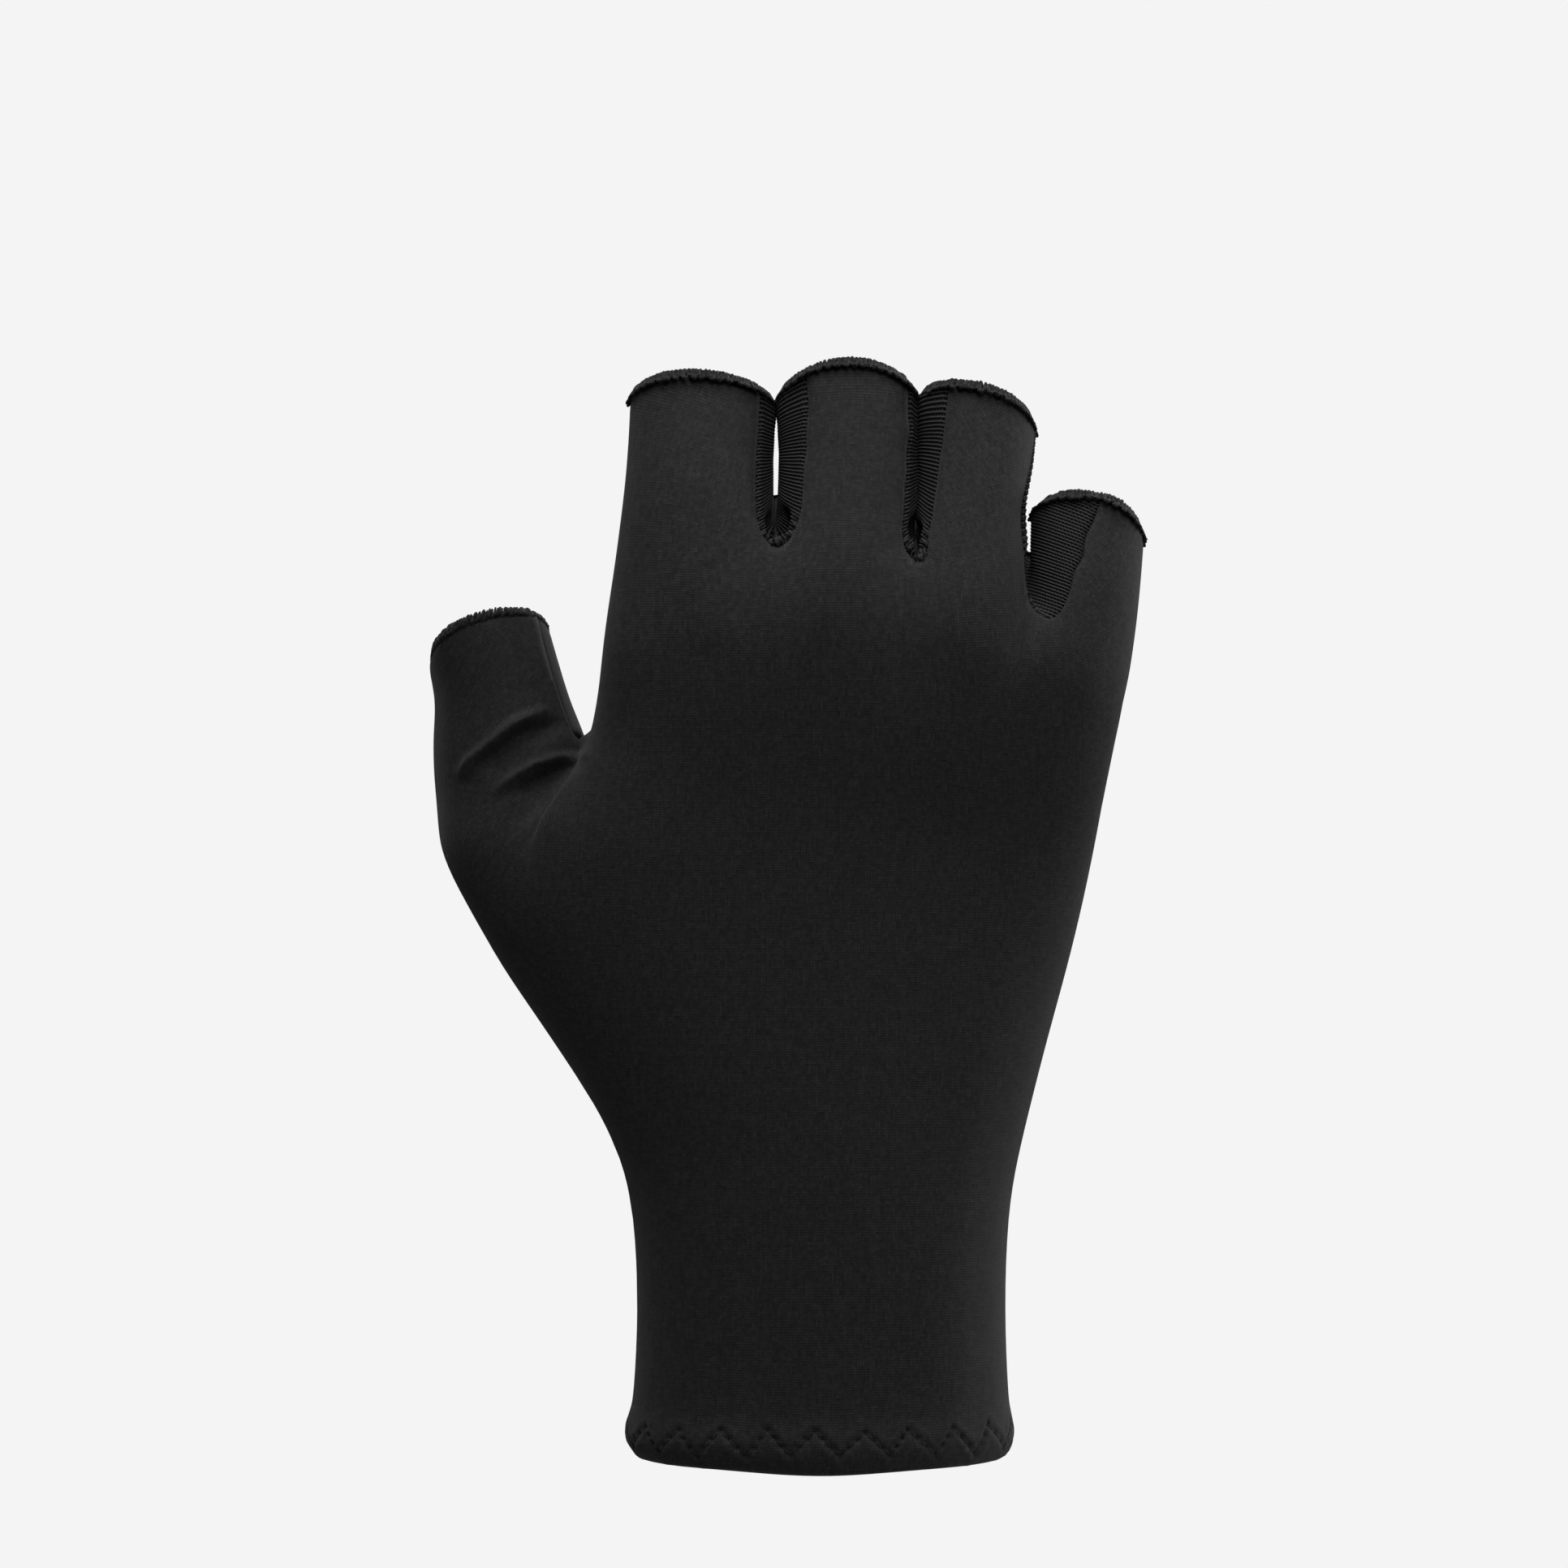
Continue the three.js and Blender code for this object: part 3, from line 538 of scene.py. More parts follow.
def cloth_tone_group():
    """Slow changes of tone over cloth, and rare specks of lint."""
    group, given, out = node_group("cloth_tone", "Place", {"Change": 0.2}, ("Tone", "Lint"))
    plus, minus, times, _, _ = arithmetic(group)
    specks = add(group, "ShaderNodeTexVoronoi")
    feed(group, specks, Vector=given["Place"], Scale=110)
    slow = times(minus(noise(group, given["Place"], 60, 4), 0.5), given["Change"])
    fine = times(minus(noise(group, given["Place"], 1800), 0.5), given["Change"])
    group.links.new(plus(1, plus(slow, times(fine, 2))), out["Tone"])
    group.links.new(math_node(group, "LESS_THAN", specks.outputs["Distance"], 0.012), out["Lint"])
    return group


KNIT_GROUP = knit_group()
MESH_GROUP = mesh_group()
TONE_GROUP = cloth_tone_group()
SPECULAR = 0.12  # how much of a plain surface's shine the cloth and the thread have


def plain_material(name, colour, roughness, sheen, sheen_roughness):
    material = bpy.data.materials.new(name)
    material.use_nodes = True
    tree = material.node_tree
    shader = tree.nodes["Principled BSDF"]
    feed(tree, shader, Base_Color=(*colour, 1), Roughness=roughness, Sheen_Weight=sheen,
         Sheen_Roughness=sheen_roughness, Specular_IOR_Level=SPECULAR)
    return material, tree, shader


def place_group(tree, group, place, **values):
    node = add(tree, "ShaderNodeGroup", node_tree=group)
    tree.links.new(place, node.inputs[0])
    feed(tree, node, **values)
    return node.outputs


def tinted(tree, colour, factor):
    """A colour made lighter or darker by a factor that changes over the surface."""
    node = add(tree, "ShaderNodeMix", data_type="RGBA", blend_type="MULTIPLY")
    feed(tree, node, Factor=1, A=(*colour, 1), B=factor)
    return node.outputs["Result"]


def lighter(tree, colour, light, mask):
    node = add(tree, "ShaderNodeMix", data_type="RGBA")
    feed(tree, node, Factor=mask, A=colour, B=(*light, 1))
    return node.outputs["Result"]


def bump(tree, shader, height, distance, strength=1.0):
    node = add(tree, "ShaderNodeBump")
    feed(tree, node, Distance=distance, Strength=strength, Height=height)
    feed(tree, shader, Normal=node.outputs[0])


def place_in(tree):
    return add(tree, "ShaderNodeTexCoord").outputs["Object"]


def place_on_cloth(tree):
    return add(tree, "ShaderNodeUVMap", uv_map="cloth").outputs[0]


def knit_material(name, colour, roughness, painted_finger_light=0.0):
    """Fine knit, with painted light that makes it lighter by a share up the fingers, which tilt up towards
    the lamps above.
    """
    material, tree, shader = plain_material(name, colour, roughness, 0.12, 0.4)
    cloth, place = place_on_cloth(tree), place_in(tree)
    knit = place_group(tree, KNIT_GROUP, cloth)
    tone = place_group(tree, TONE_GROUP, place)
    # Painted light: the knit's colour is made lighter up the fingers, where they tilt up towards the lamps
    # above.
    low, high = FINGER_ROOTS
    painted_light_up_fingers = map_range(
        tree, separated(tree, place)["Z"], From_Min=low, From_Max=high, To_Min=1, To_Max=1 + painted_finger_light)
    shade = math_node(tree, "MULTIPLY", math_node(tree, "MULTIPLY", knit["Shade"], tone["Tone"]), painted_light_up_fingers)
    coloured = lighter(tree, tinted(tree, colour, shade), LINT, tone["Lint"])
    feed(tree, shader, Base_Color=coloured)
    bump(tree, shader, knit["Height"], 0.05 * MM, 0.8)
    return material


def mesh_material(name, colour):
    material, tree, shader = plain_material(name, colour, 0.7, 0.06, 0.4)
    plus, minus, times, _, power = arithmetic(tree)
    cloth, place = place_on_cloth(tree), place_in(tree)
    mesh = place_group(tree, MESH_GROUP, cloth)
    tone = place_group(tree, TONE_GROUP, place, Change=0.25)
    # Painted shade: the grooves between the ribs are painted darker and the holes nearly black, where shade
    # falls into them.
    ridge = times(power(mesh["Height"], 1.4), 1.8)
    shade = times(times(plus(0.4, ridge), tone["Tone"]), minus(1.02, mesh["Hole"]))
    feed(tree, shader, Base_Color=tinted(tree, colour, shade))
    bump(tree, shader, minus(mesh["Height"], mesh["Hole"]), 0.12 * MM)
    return material


def thread_material(name, colour):
    """Bulky thread, mottled where its fibres lie in clumps."""
    material, tree, shader = plain_material(name, colour, 0.75, 0.15, 0.5)
    place = place_in(tree)
    tone = place_group(tree, TONE_GROUP, place, Change=1.1)
    clumps = math_node(tree, "MULTIPLY_ADD", noise(tree, place, 1700), 5.5, -1.75)
    mottled = math_node(tree, "MAXIMUM", clumps, 0.15)
    shade = math_node(tree, "MULTIPLY", mottled, tone["Tone"])
    feed(tree, shader, Base_Color=tinted(tree, colour, shade))
    bump(tree, shader, noise(tree, place, 6000), 0.06 * MM, 0.7)
    return material


FINGER_ROOTS = (0.124, 0.15)  # heights between which the painted light on the knit of the fingers grows
LINT = (0.08, 0.08, 0.085)
BACK_KNIT = knit_material("back_knit", (0.029, 0.029, 0.0299), 0.62, painted_finger_light=0.42)
PALM_KNIT = knit_material("palm_knit", (0.027, 0.027, 0.0278), 0.66)
OPEN_MESH = mesh_material("gusset_open_mesh", (0.046, 0.046, 0.047))
RIBBED_MESH = mesh_material("gusset_ribbed_mesh", (0.037, 0.037, 0.038))
GUSSET_MESHES = {"index_middle": RIBBED_MESH, "middle_ring": RIBBED_MESH, "ring_little": OPEN_MESH}
# Painted shade: the rim faces round each border are painted near black, as the shadow where the cloth turns
# under at the seams.
SEAM_RIM_SHADE = knit_material("seam_rim_painted_shade", (0.005, 0.005, 0.005), 0.8)
EDGE_THREAD = thread_material("edge_thread", (0.022, 0.0215, 0.0215))
# Painted shade: the core under the edge threads is near black, as the shade in the gaps between them.
EDGE_CORE_SHADE = thread_material("edge_core_painted_shade", (0.006, 0.006, 0.006))
HEM_STITCHES = thread_material("hem_stitches", (0.018, 0.018, 0.018))


# Small moves of all the cloth round the slots between the fingers and at the hem, on the back of the hand
# only: x, z, and the move in x and in z, in millimetres.
SLOT_NUDGES = [
    (-10.4, 165.9, -0.21, 0.01), (-10.6, 161.5, -0.16, 0.01), (-8.7, 151.6, -0.57, 0.3),
    (-7.3, 150.9, 0.19, -0.8), (-5.8, 151.7, 0.59, -0.32), (-4.4, 153.5, 0.27, -0.12),
    (-3.2, 156, 0.29, -0.13), (-2.6, 161.4, 0.2, -0.02), (-2.3, 167, 0.48, -0.03),
    (-2, 172.6, 0.4, -0.02), (-1.8, 175.9, 0.17, -0.01), (14.3, 169.9, 0.54, -0.02),
    (14.1, 163.8, 0.21, -0.01), (13.8, 153.8, -0.29, -0.01), (14.3, 151, -0.27, -0.18),
    (15.2, 149.2, -1.11, 0.38), (16.2, 148.5, -0.05, -1.07), (17, 149.1, 1.39, -0.19),
    (18.2, 150.9, -0.29, 0.39), (18.8, 153.1, -0.36, -0.08), (19.4, 157.6, -0.29, 0.03),
    (20.1, 163.7, -0.13, 0.02), (34.2, 145, -0.15, 0.02), (35, 141.4, -0.43, -0.32),
    (36.1, 139.4, -0.18, 0.41), (37.5, 138.7, -0.13, -0.48), (38.6, 139.4, 0.37, -0.37),
    (39.4, 140.4, 0.53, -0.07), (41.1, 143.7, 0.55, -0.21), (42.9, 149.2, 0.98, -0.34),
    (45.4, 155.2, 0.46, -0.21), (46.2, 156.8, -0.14, 0.07),
]
HEM_NUDGE = (0, -1, 0, -0.8)
SLOT_REACH, HEM_REACH = 2.6, 13  # how far these reach, in millimetres
# The same for all the cloth round the hand, at the outline, each with its reach.
SIDE_NUDGES = [
    (9, [(-64, 118, -0.65, 0), (-61, 98, -0.5, 0)]),
    (10, [(-52, 82, -0.4, 0)]),
    (22, [(44, 90, 0.25, 0)]),
    (6, [(34.5, 157, -0.5, 0)]),
]


def nudge(piece):
    points = points_of(piece)
    moved = points.copy()
    front = eased((2 - points[:, 1] / MM) / 5)
    tables = [(front, SLOT_REACH, SLOT_NUDGES), (front, HEM_REACH, [HEM_NUDGE])]
    tables += [(1, reach, rows) for reach, rows in SIDE_NUDGES]
    for share, reach, rows in tables:
        for x, z, right, up in rows:
            away = np.hypot(points[:, 0] / MM - x, points[:, 2] / MM - z) / reach
            near = np.exp(-away ** 2) * share * MM
            moved[:, 0] += near * right
            moved[:, 2] += near * up
    move_points(piece, moved)


# Panels

# The knuckles: a line over them in x and z, how far they stand out, and how far that spreads towards the
# fingers and towards the wrist, in millimetres.
KNUCKLES = ([(-36, 129), (-20, 133), (3, 134.5), (25, 132.5), (38, 127), (50, 120)], 1.5, 9.5, 24.0)
KNUCKLES_START, KNUCKLES_EASE = -40, 9  # x where they begin, and over how much they grow
# Soft swellings and hollows on the back of the hand: x, z, spread and height in millimetres.
BACK_SWELLS = [
    (-20.8, 134, 7.5, -0.55),
    (14, 132.5, 7.5, -0.55),
    (-2, 141, 6.5, 0.35),
    (32, 138, 6, -0.25),
]


def swell(piece):
    points, normals = points_of(piece), normals_of(piece)
    line, height, finger_side, wrist_side = KNUCKLES
    side, _ = beside_line(points, line)
    spread = np.where(side > 0, finger_side, wrist_side)
    lift = height * np.exp(-(side / spread) ** 2) * eased(-normals[:, 1] * 1.5)
    lift *= eased((points[:, 0] / MM - KNUCKLES_START) / KNUCKLES_EASE)
    points += normals * (lift * MM)[:, None]
    for x, z, spread, height in BACK_SWELLS:
        away = np.hypot(points[:, 0] / MM - x, points[:, 2] / MM - z) / spread
        facing = np.clip(-normals[:, 1], 0, 1)
        points += normals * (height * MM * np.exp(-away ** 2) * facing)[:, None]
    move_points(piece, points)


# Folds of cloth where the thumb joins the hand: the line in x and z, its height in millimetres, and how far
# it spreads on the finger side and on the wrist side of the line.
THUMB_FOLDS = [
    ([(-60.6, 111.6), (-57.6, 115.5), (-54.3, 118.2), (-50.9, 121.1), (-46.0, 123.6)], 1.25, 0.9, 1.1),
    ([(-57.0, 113.4), (-53.2, 117.0), (-49.2, 119.8), (-42.6, 121.4)], -1.1, 1.2, 2.2),
    ([(-54.2, 109.4), (-50.5, 112.7), (-47.3, 114.6), (-43.5, 115.8), (-39.6, 116.4)], 1.05, 0.75, 0.9),
    ([(-50.6, 109.6), (-46.4, 112.4), (-42.8, 114.0), (-39.6, 115.0)], -1.0, 0.8, 1.8),
]
# The hand's cloth lies over the thumb's along this line, which fades out at its lower end.
HAND_FOLD = [
    (-38.2, 118.8), (-39.9, 116.4), (-41.8, 114.1), (-43.5, 111.4), (-45.9, 107.6), (-48.4, 104.7),
    (-52.6, 100.4),
]
HAND_FOLD_RISE = (0.5, 4.5)  # height and spread on the hand's side of it, in millimetres
HAND_FOLD_SINK = (1.3, 2.6)  # the same on the thumb's side
HAND_FOLD_BREADTH = 1.3  # half the breadth of the step between the two
FOLD_CLEARANCE = 2.5 * MM  # how far from a seam the folds get their full height
THUMB_FIELD = (-66, -34, 94, 128)  # x and z that need fine faces for the folds


def beside_line(points, line):
    """For each point, its distance from a line in x and z, positive on the left, and its place along it."""
    seen = points[:, (0, 2)] / MM
    line = np.array(line, float)
    lengths = np.hypot(*np.diff(line, axis=0).T)
    starts = np.concatenate([[0], np.cumsum(lengths)])
    nearest = np.full(len(seen), 1e9)
    side = np.zeros(len(seen))
    along = np.zeros(len(seen))
    for one, two, length, start in zip(line, line[1:], lengths, starts):
        way = (two - one) / length
        reach = np.clip((seen - one) @ way, 0, length)
        off = seen - one - reach[:, None] * way
        away = np.hypot(*off.T)
        closer = away < nearest
        nearest[closer] = away[closer]
        side[closer] = np.sign(way[0] * off[closer, 1] - way[1] * off[closer, 0])
        along[closer] = (start + reach[closer]) / starts[-1]
    return nearest * side, along


def fold_thumb(piece):
    points, normals = points_of(piece), normals_of(piece)
    seam = nearest_of(border_points(piece, is_sewn))
    free = np.array([min(seam.find(point)[2] / FOLD_CLEARANCE, 1) for point in points])
    facing = np.clip(-normals[:, 1] * 2, 0, 1) * eased(free)
    lift = np.zeros(len(points))
    for line, height, finger_side, wrist_side in THUMB_FOLDS:
        side, along = beside_line(points, line)
        spread = np.where(side > 0, finger_side, wrist_side)
        ends = eased(along / 0.25) * (0.35 + 0.65 * eased((1 - along) / 0.2))
        lift += height * np.exp(-(side / spread) ** 2) * ends
    side, along = beside_line(points, HAND_FOLD)
    over = 0.5 + 0.5 * np.tanh(side / HAND_FOLD_BREADTH)
    fading = eased((1 - along) / 0.6) * eased(along / 0.12)
    (rise, rise_spread), (sink, sink_spread) = HAND_FOLD_RISE, HAND_FOLD_SINK
    lift += fading * over * rise * np.exp(-(side / rise_spread) ** 2)
    lift -= fading * (1 - over) * sink * np.exp(-(side / sink_spread) ** 2)
    points += normals * (lift * facing * MM)[:, None]
    move_points(piece, points)


# Hem

ZIGZAG = 7.7  # length of one zigzag round the hem, in millimetres
ZIGZAG_LOW, ZIGZAG_HIGH = 1.6, 5.7
ZIGZAG_START = 0.6  # how far round the wrist from the middle of the palm it starts
STITCHES = 3  # to each slanting leg of the zigzag
# The turned-in bottom of the hem, as steps inwards and upwards from its outer face, in millimetres.
HEM_FOLD = [
    (0.25, -0.35), (0.75, -0.62), (1.3, -0.62), (1.8, -0.3), (2.05, 0.4), (2.1, 2.0), (2.1, 5.0), (2.1, 8.6),
]
HEM_LIFT = 0.62  # how far the bottom of the hem is drawn up to make room for the fold, in millimetres
HEM_LOWEST, HEM_LIFTED = -0.76, 3  # height of its lowest point, and how much of it is drawn up
HOLE_DEPTH, HOLE_RADIUS = 0.42, 0.34  # of a needle hole, in millimetres
GROOVE = (0.13, 0.42)  # depth and spread of the groove under the stitching, in millimetres
PUFFS = (0.1, 1.1, 0.7)  # height of the cloth puffed up beside it, how far off that is, and its spread
HEM_FADES = (2, 1.2)  # both fade over this much of the hem at its top and bottom, in millimetres
WRIST_HALVES = (30, 15)  # half the breadth and depth of the wrist, in millimetres
WAY_OUT = 1.7  # the way out of the wrist leans this much more sideways than the turn round it
OUTSIDE = 60 * MM  # farther from the middle of the wrist than its cloth
HEM_THREAD = 0.13  # radius of the hem's sewing thread, in millimetres
# One stitch of it between two needle holes: part of the way, and its height over the cloth in millimetres.
HEM_STITCH = [(0.06, -0.2), (0.14, 0.02), (0.5, 0.1), (0.86, 0.02), (0.94, -0.2)]


def round_wrist(points):
    """How far round the wrist each point is, in millimetres, from the middle of the palm."""
    turn = np.arctan2(points[:, 0], points[:, 1])
    return np.interp(turn, WRIST_TURNS, WRIST_LENGTHS)


def measure_wrist(pieces):
    """Turns and lengths round the wrist's border, and the border's whole length in millimetres."""
    rim = []
    for piece in pieces:
        points = points_of(piece)
        rim.extend(points[index] for index in border_ways(piece, is_wrist))
    rim = np.array(sorted(rim, key=lambda point: math.atan2(point[0], point[1])))
    ring = np.vstack([rim[-1], rim, rim[0]])
    turns = np.arctan2(ring[:, 0], ring[:, 1])
    turns[0] -= 2 * math.pi
    turns[-1] += 2 * math.pi
    steps = np.hypot(*np.diff(ring[:, :2], axis=0).T) / MM
    lengths = np.concatenate([[0], np.cumsum(steps)])
    start = np.interp(-math.pi, turns, lengths)
    girth = np.interp(math.pi, turns, lengths) - start
    return turns, lengths - start, girth


def zigzag_corners():
    """The corners of the hem's stitching as places round the wrist, from where it starts, and heights."""
    dice = random.Random(5)
    count = round(WRIST_GIRTH / ZIGZAG)
    corners = []
    for number in range(2 * count):
        height = ZIGZAG_LOW if number % 2 else ZIGZAG_HIGH
        place = (number + 0.12 * dice.uniform(-1, 1)) * WRIST_GIRTH / count / 2
        corners.append((place, height + dice.uniform(-0.35, 0.35)))
    return corners


def needle_holes():
    corners = zigzag_corners()
    holes = []
    for number, (place, height) in enumerate(corners):
        after, top = corners[(number + 1) % len(corners)]
        if after < place:
            after += WRIST_GIRTH
        for stitch in range(STITCHES):
            part = stitch / STITCHES
            holes.append((place + (after - place) * part, height + (top - height) * part))
    return holes


def sew_hem(piece):
    """Presses the stitching into the hem, and puffs up the cloth between its lines."""
    points, normals = points_of(piece), normals_of(piece)
    low = np.where((points[:, 2] < HEM_TOP) & ((points * normals)[:, :2].sum(1) > 0))[0]
    place = np.mod(round_wrist(points[low]) - ZIGZAG_START, WRIST_GIRTH)
    height = points[low, 2] / MM
    corners = zigzag_corners()
    corners.append((WRIST_GIRTH + corners[0][0], corners[0][1]))
    slope = (ZIGZAG_HIGH - ZIGZAG_LOW) / (ZIGZAG / 2)
    off = (height - read_table(corners, place)) / math.hypot(1, slope)
    (depth, spread), (rise, beside, rise_spread) = GROOVE, PUFFS
    lift = rise * np.exp(-((np.abs(off) - beside) / rise_spread) ** 2) - depth * np.exp(-(off / spread) ** 2)
    for hole, level in needle_holes():
        gap = np.abs(place - np.mod(hole, WRIST_GIRTH))
        gap = np.minimum(gap, WRIST_GIRTH - gap)
        lift -= HOLE_DEPTH * np.exp(-((gap ** 2 + (height - level) ** 2) / HOLE_RADIUS ** 2))
    fade = eased((HEM_TOP / MM - height) / HEM_FADES[0]) * eased((height + HEM_FADES[1]) / HEM_FADES[1])
    points[low] += normals[low] * (lift * fade * MM)[:, None]
    move_points(piece, points)


def turn_in_hem(piece):
    """Folds the bottom of a panel inwards and up inside the wrist."""
    points = points_of(piece)
    points[:, 2] += HEM_LIFT * np.clip(1 - (points[:, 2] / MM - HEM_LOWEST) / HEM_LIFTED, 0, 1) * MM
    move_points(piece, points)
    with form_of(piece) as form:
        rim = [edge for edge in form.edges if edge.is_boundary and is_wrist(edge)]
        reached = (0, 0)
        for step in HEM_FOLD:
            made = bmesh.ops.extrude_edge_only(form, edges=rim)["geom"]
            rim = [part for part in made if isinstance(part, bmesh.types.BMEdge)]
            for vertex in {vertex for edge in rim for vertex in edge.verts}:
                out = Vector((vertex.co.x / WRIST_HALVES[0], vertex.co.y / WRIST_HALVES[1], 0)).normalized()
                vertex.co -= out * (step[0] - reached[0]) * MM
                vertex.co.z += (step[1] - reached[1]) * MM
            reached = step
        bmesh.ops.recalc_face_normals(form, faces=form.faces)


def make_panel(node, material, shape=None):
    piece = SKINS[node]
    ease_borders(piece)
    border = border_points(piece, is_sewn)
    turn_in_hem(piece)
    sink_borders(piece, border, SEAM_SINK[node])
    if shape:
        shape(piece)
    refine_where(piece, lambda place, normal: place.z < HEM_TOP and place.xy.dot(normal.xy) > 0, 2)
    sew_hem(piece)
    thicken(piece, KNIT)
    declare_sheet(finish(piece, node, material, SEAM_RIM_SHADE))
    return piece


# Places where the cloth is smoothed: the place, the reach in millimetres, and how many times.
SMOOTHED = [
    ((-48.6, -8, 98), 7, 60),
    ((-7, -13.5, 140.5), 6.5, 40),
    ((16, -14, 138), 6.5, 60),
    ((38, -9, 128.5), 6.5, 60),
]


def shape_back(piece):
    swell(piece)
    for place, reach, times in SMOOTHED:
        smooth_near(piece, Vector(place) * MM, reach * MM, times)
    left, right, low, high = (value * MM for value in THUMB_FIELD)

    def in_field(place, normal):
        return left < place.x < right and low < place.z < high and normal.y < 0.2

    refine_where(piece, in_field, 2)
    fold_thumb(piece)


def smooth_near(piece, centre, reach, times):
    """Smooths a piece softly round a place."""
    group = piece.vertex_groups.new(name="smoothed")
    for index, point in enumerate(points_of(piece)):
        weight = math.exp(-((Vector(point) - centre).length / reach) ** 4)
        if weight > 0.02:
            group.add([index], weight, "REPLACE")
    apply_modifier(piece, "SMOOTH", factor=0.5, iterations=times, vertex_group="smoothed")
    piece.vertex_groups.clear()


# Gussets

RIB_HEIGHT = 0.1 * MM
GUSSET_EASE = 0.4 * MM  # how far a gusset's sewn borders grow under the panels
GUSSET_SINK = 0.9 * MM  # how far those borders turn inwards
WEB = 0.09  # half the part of a gusset's length that goes round the bottom of a slot
# How deep the cloth is sunk there behind its bead, how far in from the border, and how far that spreads.
RECESS = (3.6, 3.6, 1.5)
BEAD = (1.0, 0.85)  # how far in from the border the bead's top is, and its spread, in millimetres
BEAD_RIB = 0.8  # pitch of the ribs on it, in millimetres
BEAD_RIB_HEIGHT = 0.1  # as part of the bead's own height


def split_along(piece, cuts):
    """Splits the edges that run along a gusset strip."""
    with form_of(piece) as form:
        layer = form.loops.layers.uv.active
        chosen = set()
        for face in form.faces:
            for loop in face.loops:
                change = loop.link_loop_next[layer].uv - loop[layer].uv
                if abs(change.x) > abs(change.y):
                    chosen.add(loop.edge)
        edges = [edge for edge in form.edges if edge in chosen]
        bmesh.ops.subdivide_edges(form, edges=edges, cuts=cuts, use_grid_fill=True)


# The ribs go straight across a gusset, but in this one they lie level and slant down to the right.
SLANTED_GUSSET = ("ring_little", math.radians(22))
# How far each gusset swells into the slot between its fingers, from one finger's mouth round to the other's:
# part of the way along, and millimetres.
GUSSET_SWELL = {
    "index_middle": [
        (0, 1.2), (0.08, 0.6), (0.2, 0.3), (0.36, 0.3), (0.46, 0), (0.54, 0), (0.64, 0.3), (0.8, 0.3),
        (0.92, 0.6), (1, 1.2),
    ],
    "middle_ring": [
        (0, 1.4), (0.12, 0.9), (0.36, 0.9), (0.46, 0), (0.54, 0), (0.6, 1.1), (0.9, 1.1), (1, 1.4),
    ],
    "ring_little": [(0, 0), (0.15, 0.2), (0.3, 0.4), (0.42, 0), (1, 0)],
}
# Where along a gusset its border next to the back of the hand is rolled up into a ribbed bead, and how high.
GUSSET_ROLL = {
    "index_middle": [
        (0, 0.15), (0.1, 0.35), (0.4, 0.6), (0.45, 1.6), (0.56, 1.6), (0.62, 0.4), (0.72, 0.05), (1, 0),
    ],
    "middle_ring": [(0, 0.3), (0.4, 0.6), (0.45, 1.6), (0.56, 1.6), (0.64, 0.1), (1, 0)],
    "ring_little": [(0, 0.4), (0.2, 0.9), (0.42, 1.2), (0.6, 1.1), (0.66, 0.1), (1, 0)],
}
# Pits and bumps behind the bead at the bottom of each slot: millimetres along from its middle and in from the
# border, spread and height.
GUSSET_PUCKERS = {
    "index_middle": [(-2.3, 2.3, 1.1, -2.4), (2.3, 2.3, 1.1, -2.4), (0.0, 1.9, 0.9, 0.6)],
    "middle_ring": [
        (0.4, 2.7, 1.3, -2.2), (-1.7, 1.2, 0.8, 0.6), (1.5, 1.4, 0.8, 0.5), (0.0, 1.3, 0.6, -0.5),
    ],
    "ring_little": [
        (-3.2, 2.2, 1.1, -1.1), (-1.0, 2.2, 1.1, -1.1), (1.2, 2.2, 1.1, -1.1), (3.2, 2.2, 1.1, -0.9),
    ],
}


def read_table(table, place):
    return np.interp(place, *np.array(table, float).T)


def lay_level(piece, slant):
    """Lays the ribs of a gusset level on the glove, in place of straight across the strip."""
    points = points_of(piece) / MM
    level = (points[:, 2] * math.cos(slant) + points[:, 0] * math.sin(slant))[corners_of(piece)]
    set_map(piece, lambda places: np.stack([level, places[:, 1]], 1))


def shape_gusset(piece, pair, flat):
    """Swells a gusset into its slot, rolls its border up into a bead and sinks the cloth behind the bead."""
    length, width = flat[:, 0].max(), flat[:, 1].max()
    along, across, inward = flat[:, 0] / length, flat[:, 1] / width, flat[:, 1]
    lift = read_table(GUSSET_SWELL[pair], along) * np.sin(math.pi * np.clip(across, 0, 1)) ** 1.3
    bead_ribs = 1 + BEAD_RIB_HEIGHT * np.cos(2 * math.pi * flat[:, 0] / BEAD_RIB)
    (top, bead_spread), (sunk, behind, spread) = BEAD, RECESS
    lift += read_table(GUSSET_ROLL[pair], along) * np.exp(-((inward - top) / bead_spread) ** 2) * bead_ribs
    web = np.exp(-((along - 0.5) / WEB) ** 4)
    lift -= sunk * web * np.exp(-((inward - behind) / spread) ** 2)
    for place, depth, spread, height in GUSSET_PUCKERS[pair]:
        away = np.hypot(flat[:, 0] - length / 2 - place, inward - depth) / spread
        lift += height * np.exp(-away ** 2)
    move_points(piece, points_of(piece) + normals_of(piece) * (lift * MM)[:, None])
    apply_modifier(piece, "SMOOTH", factor=0.5, iterations=8)


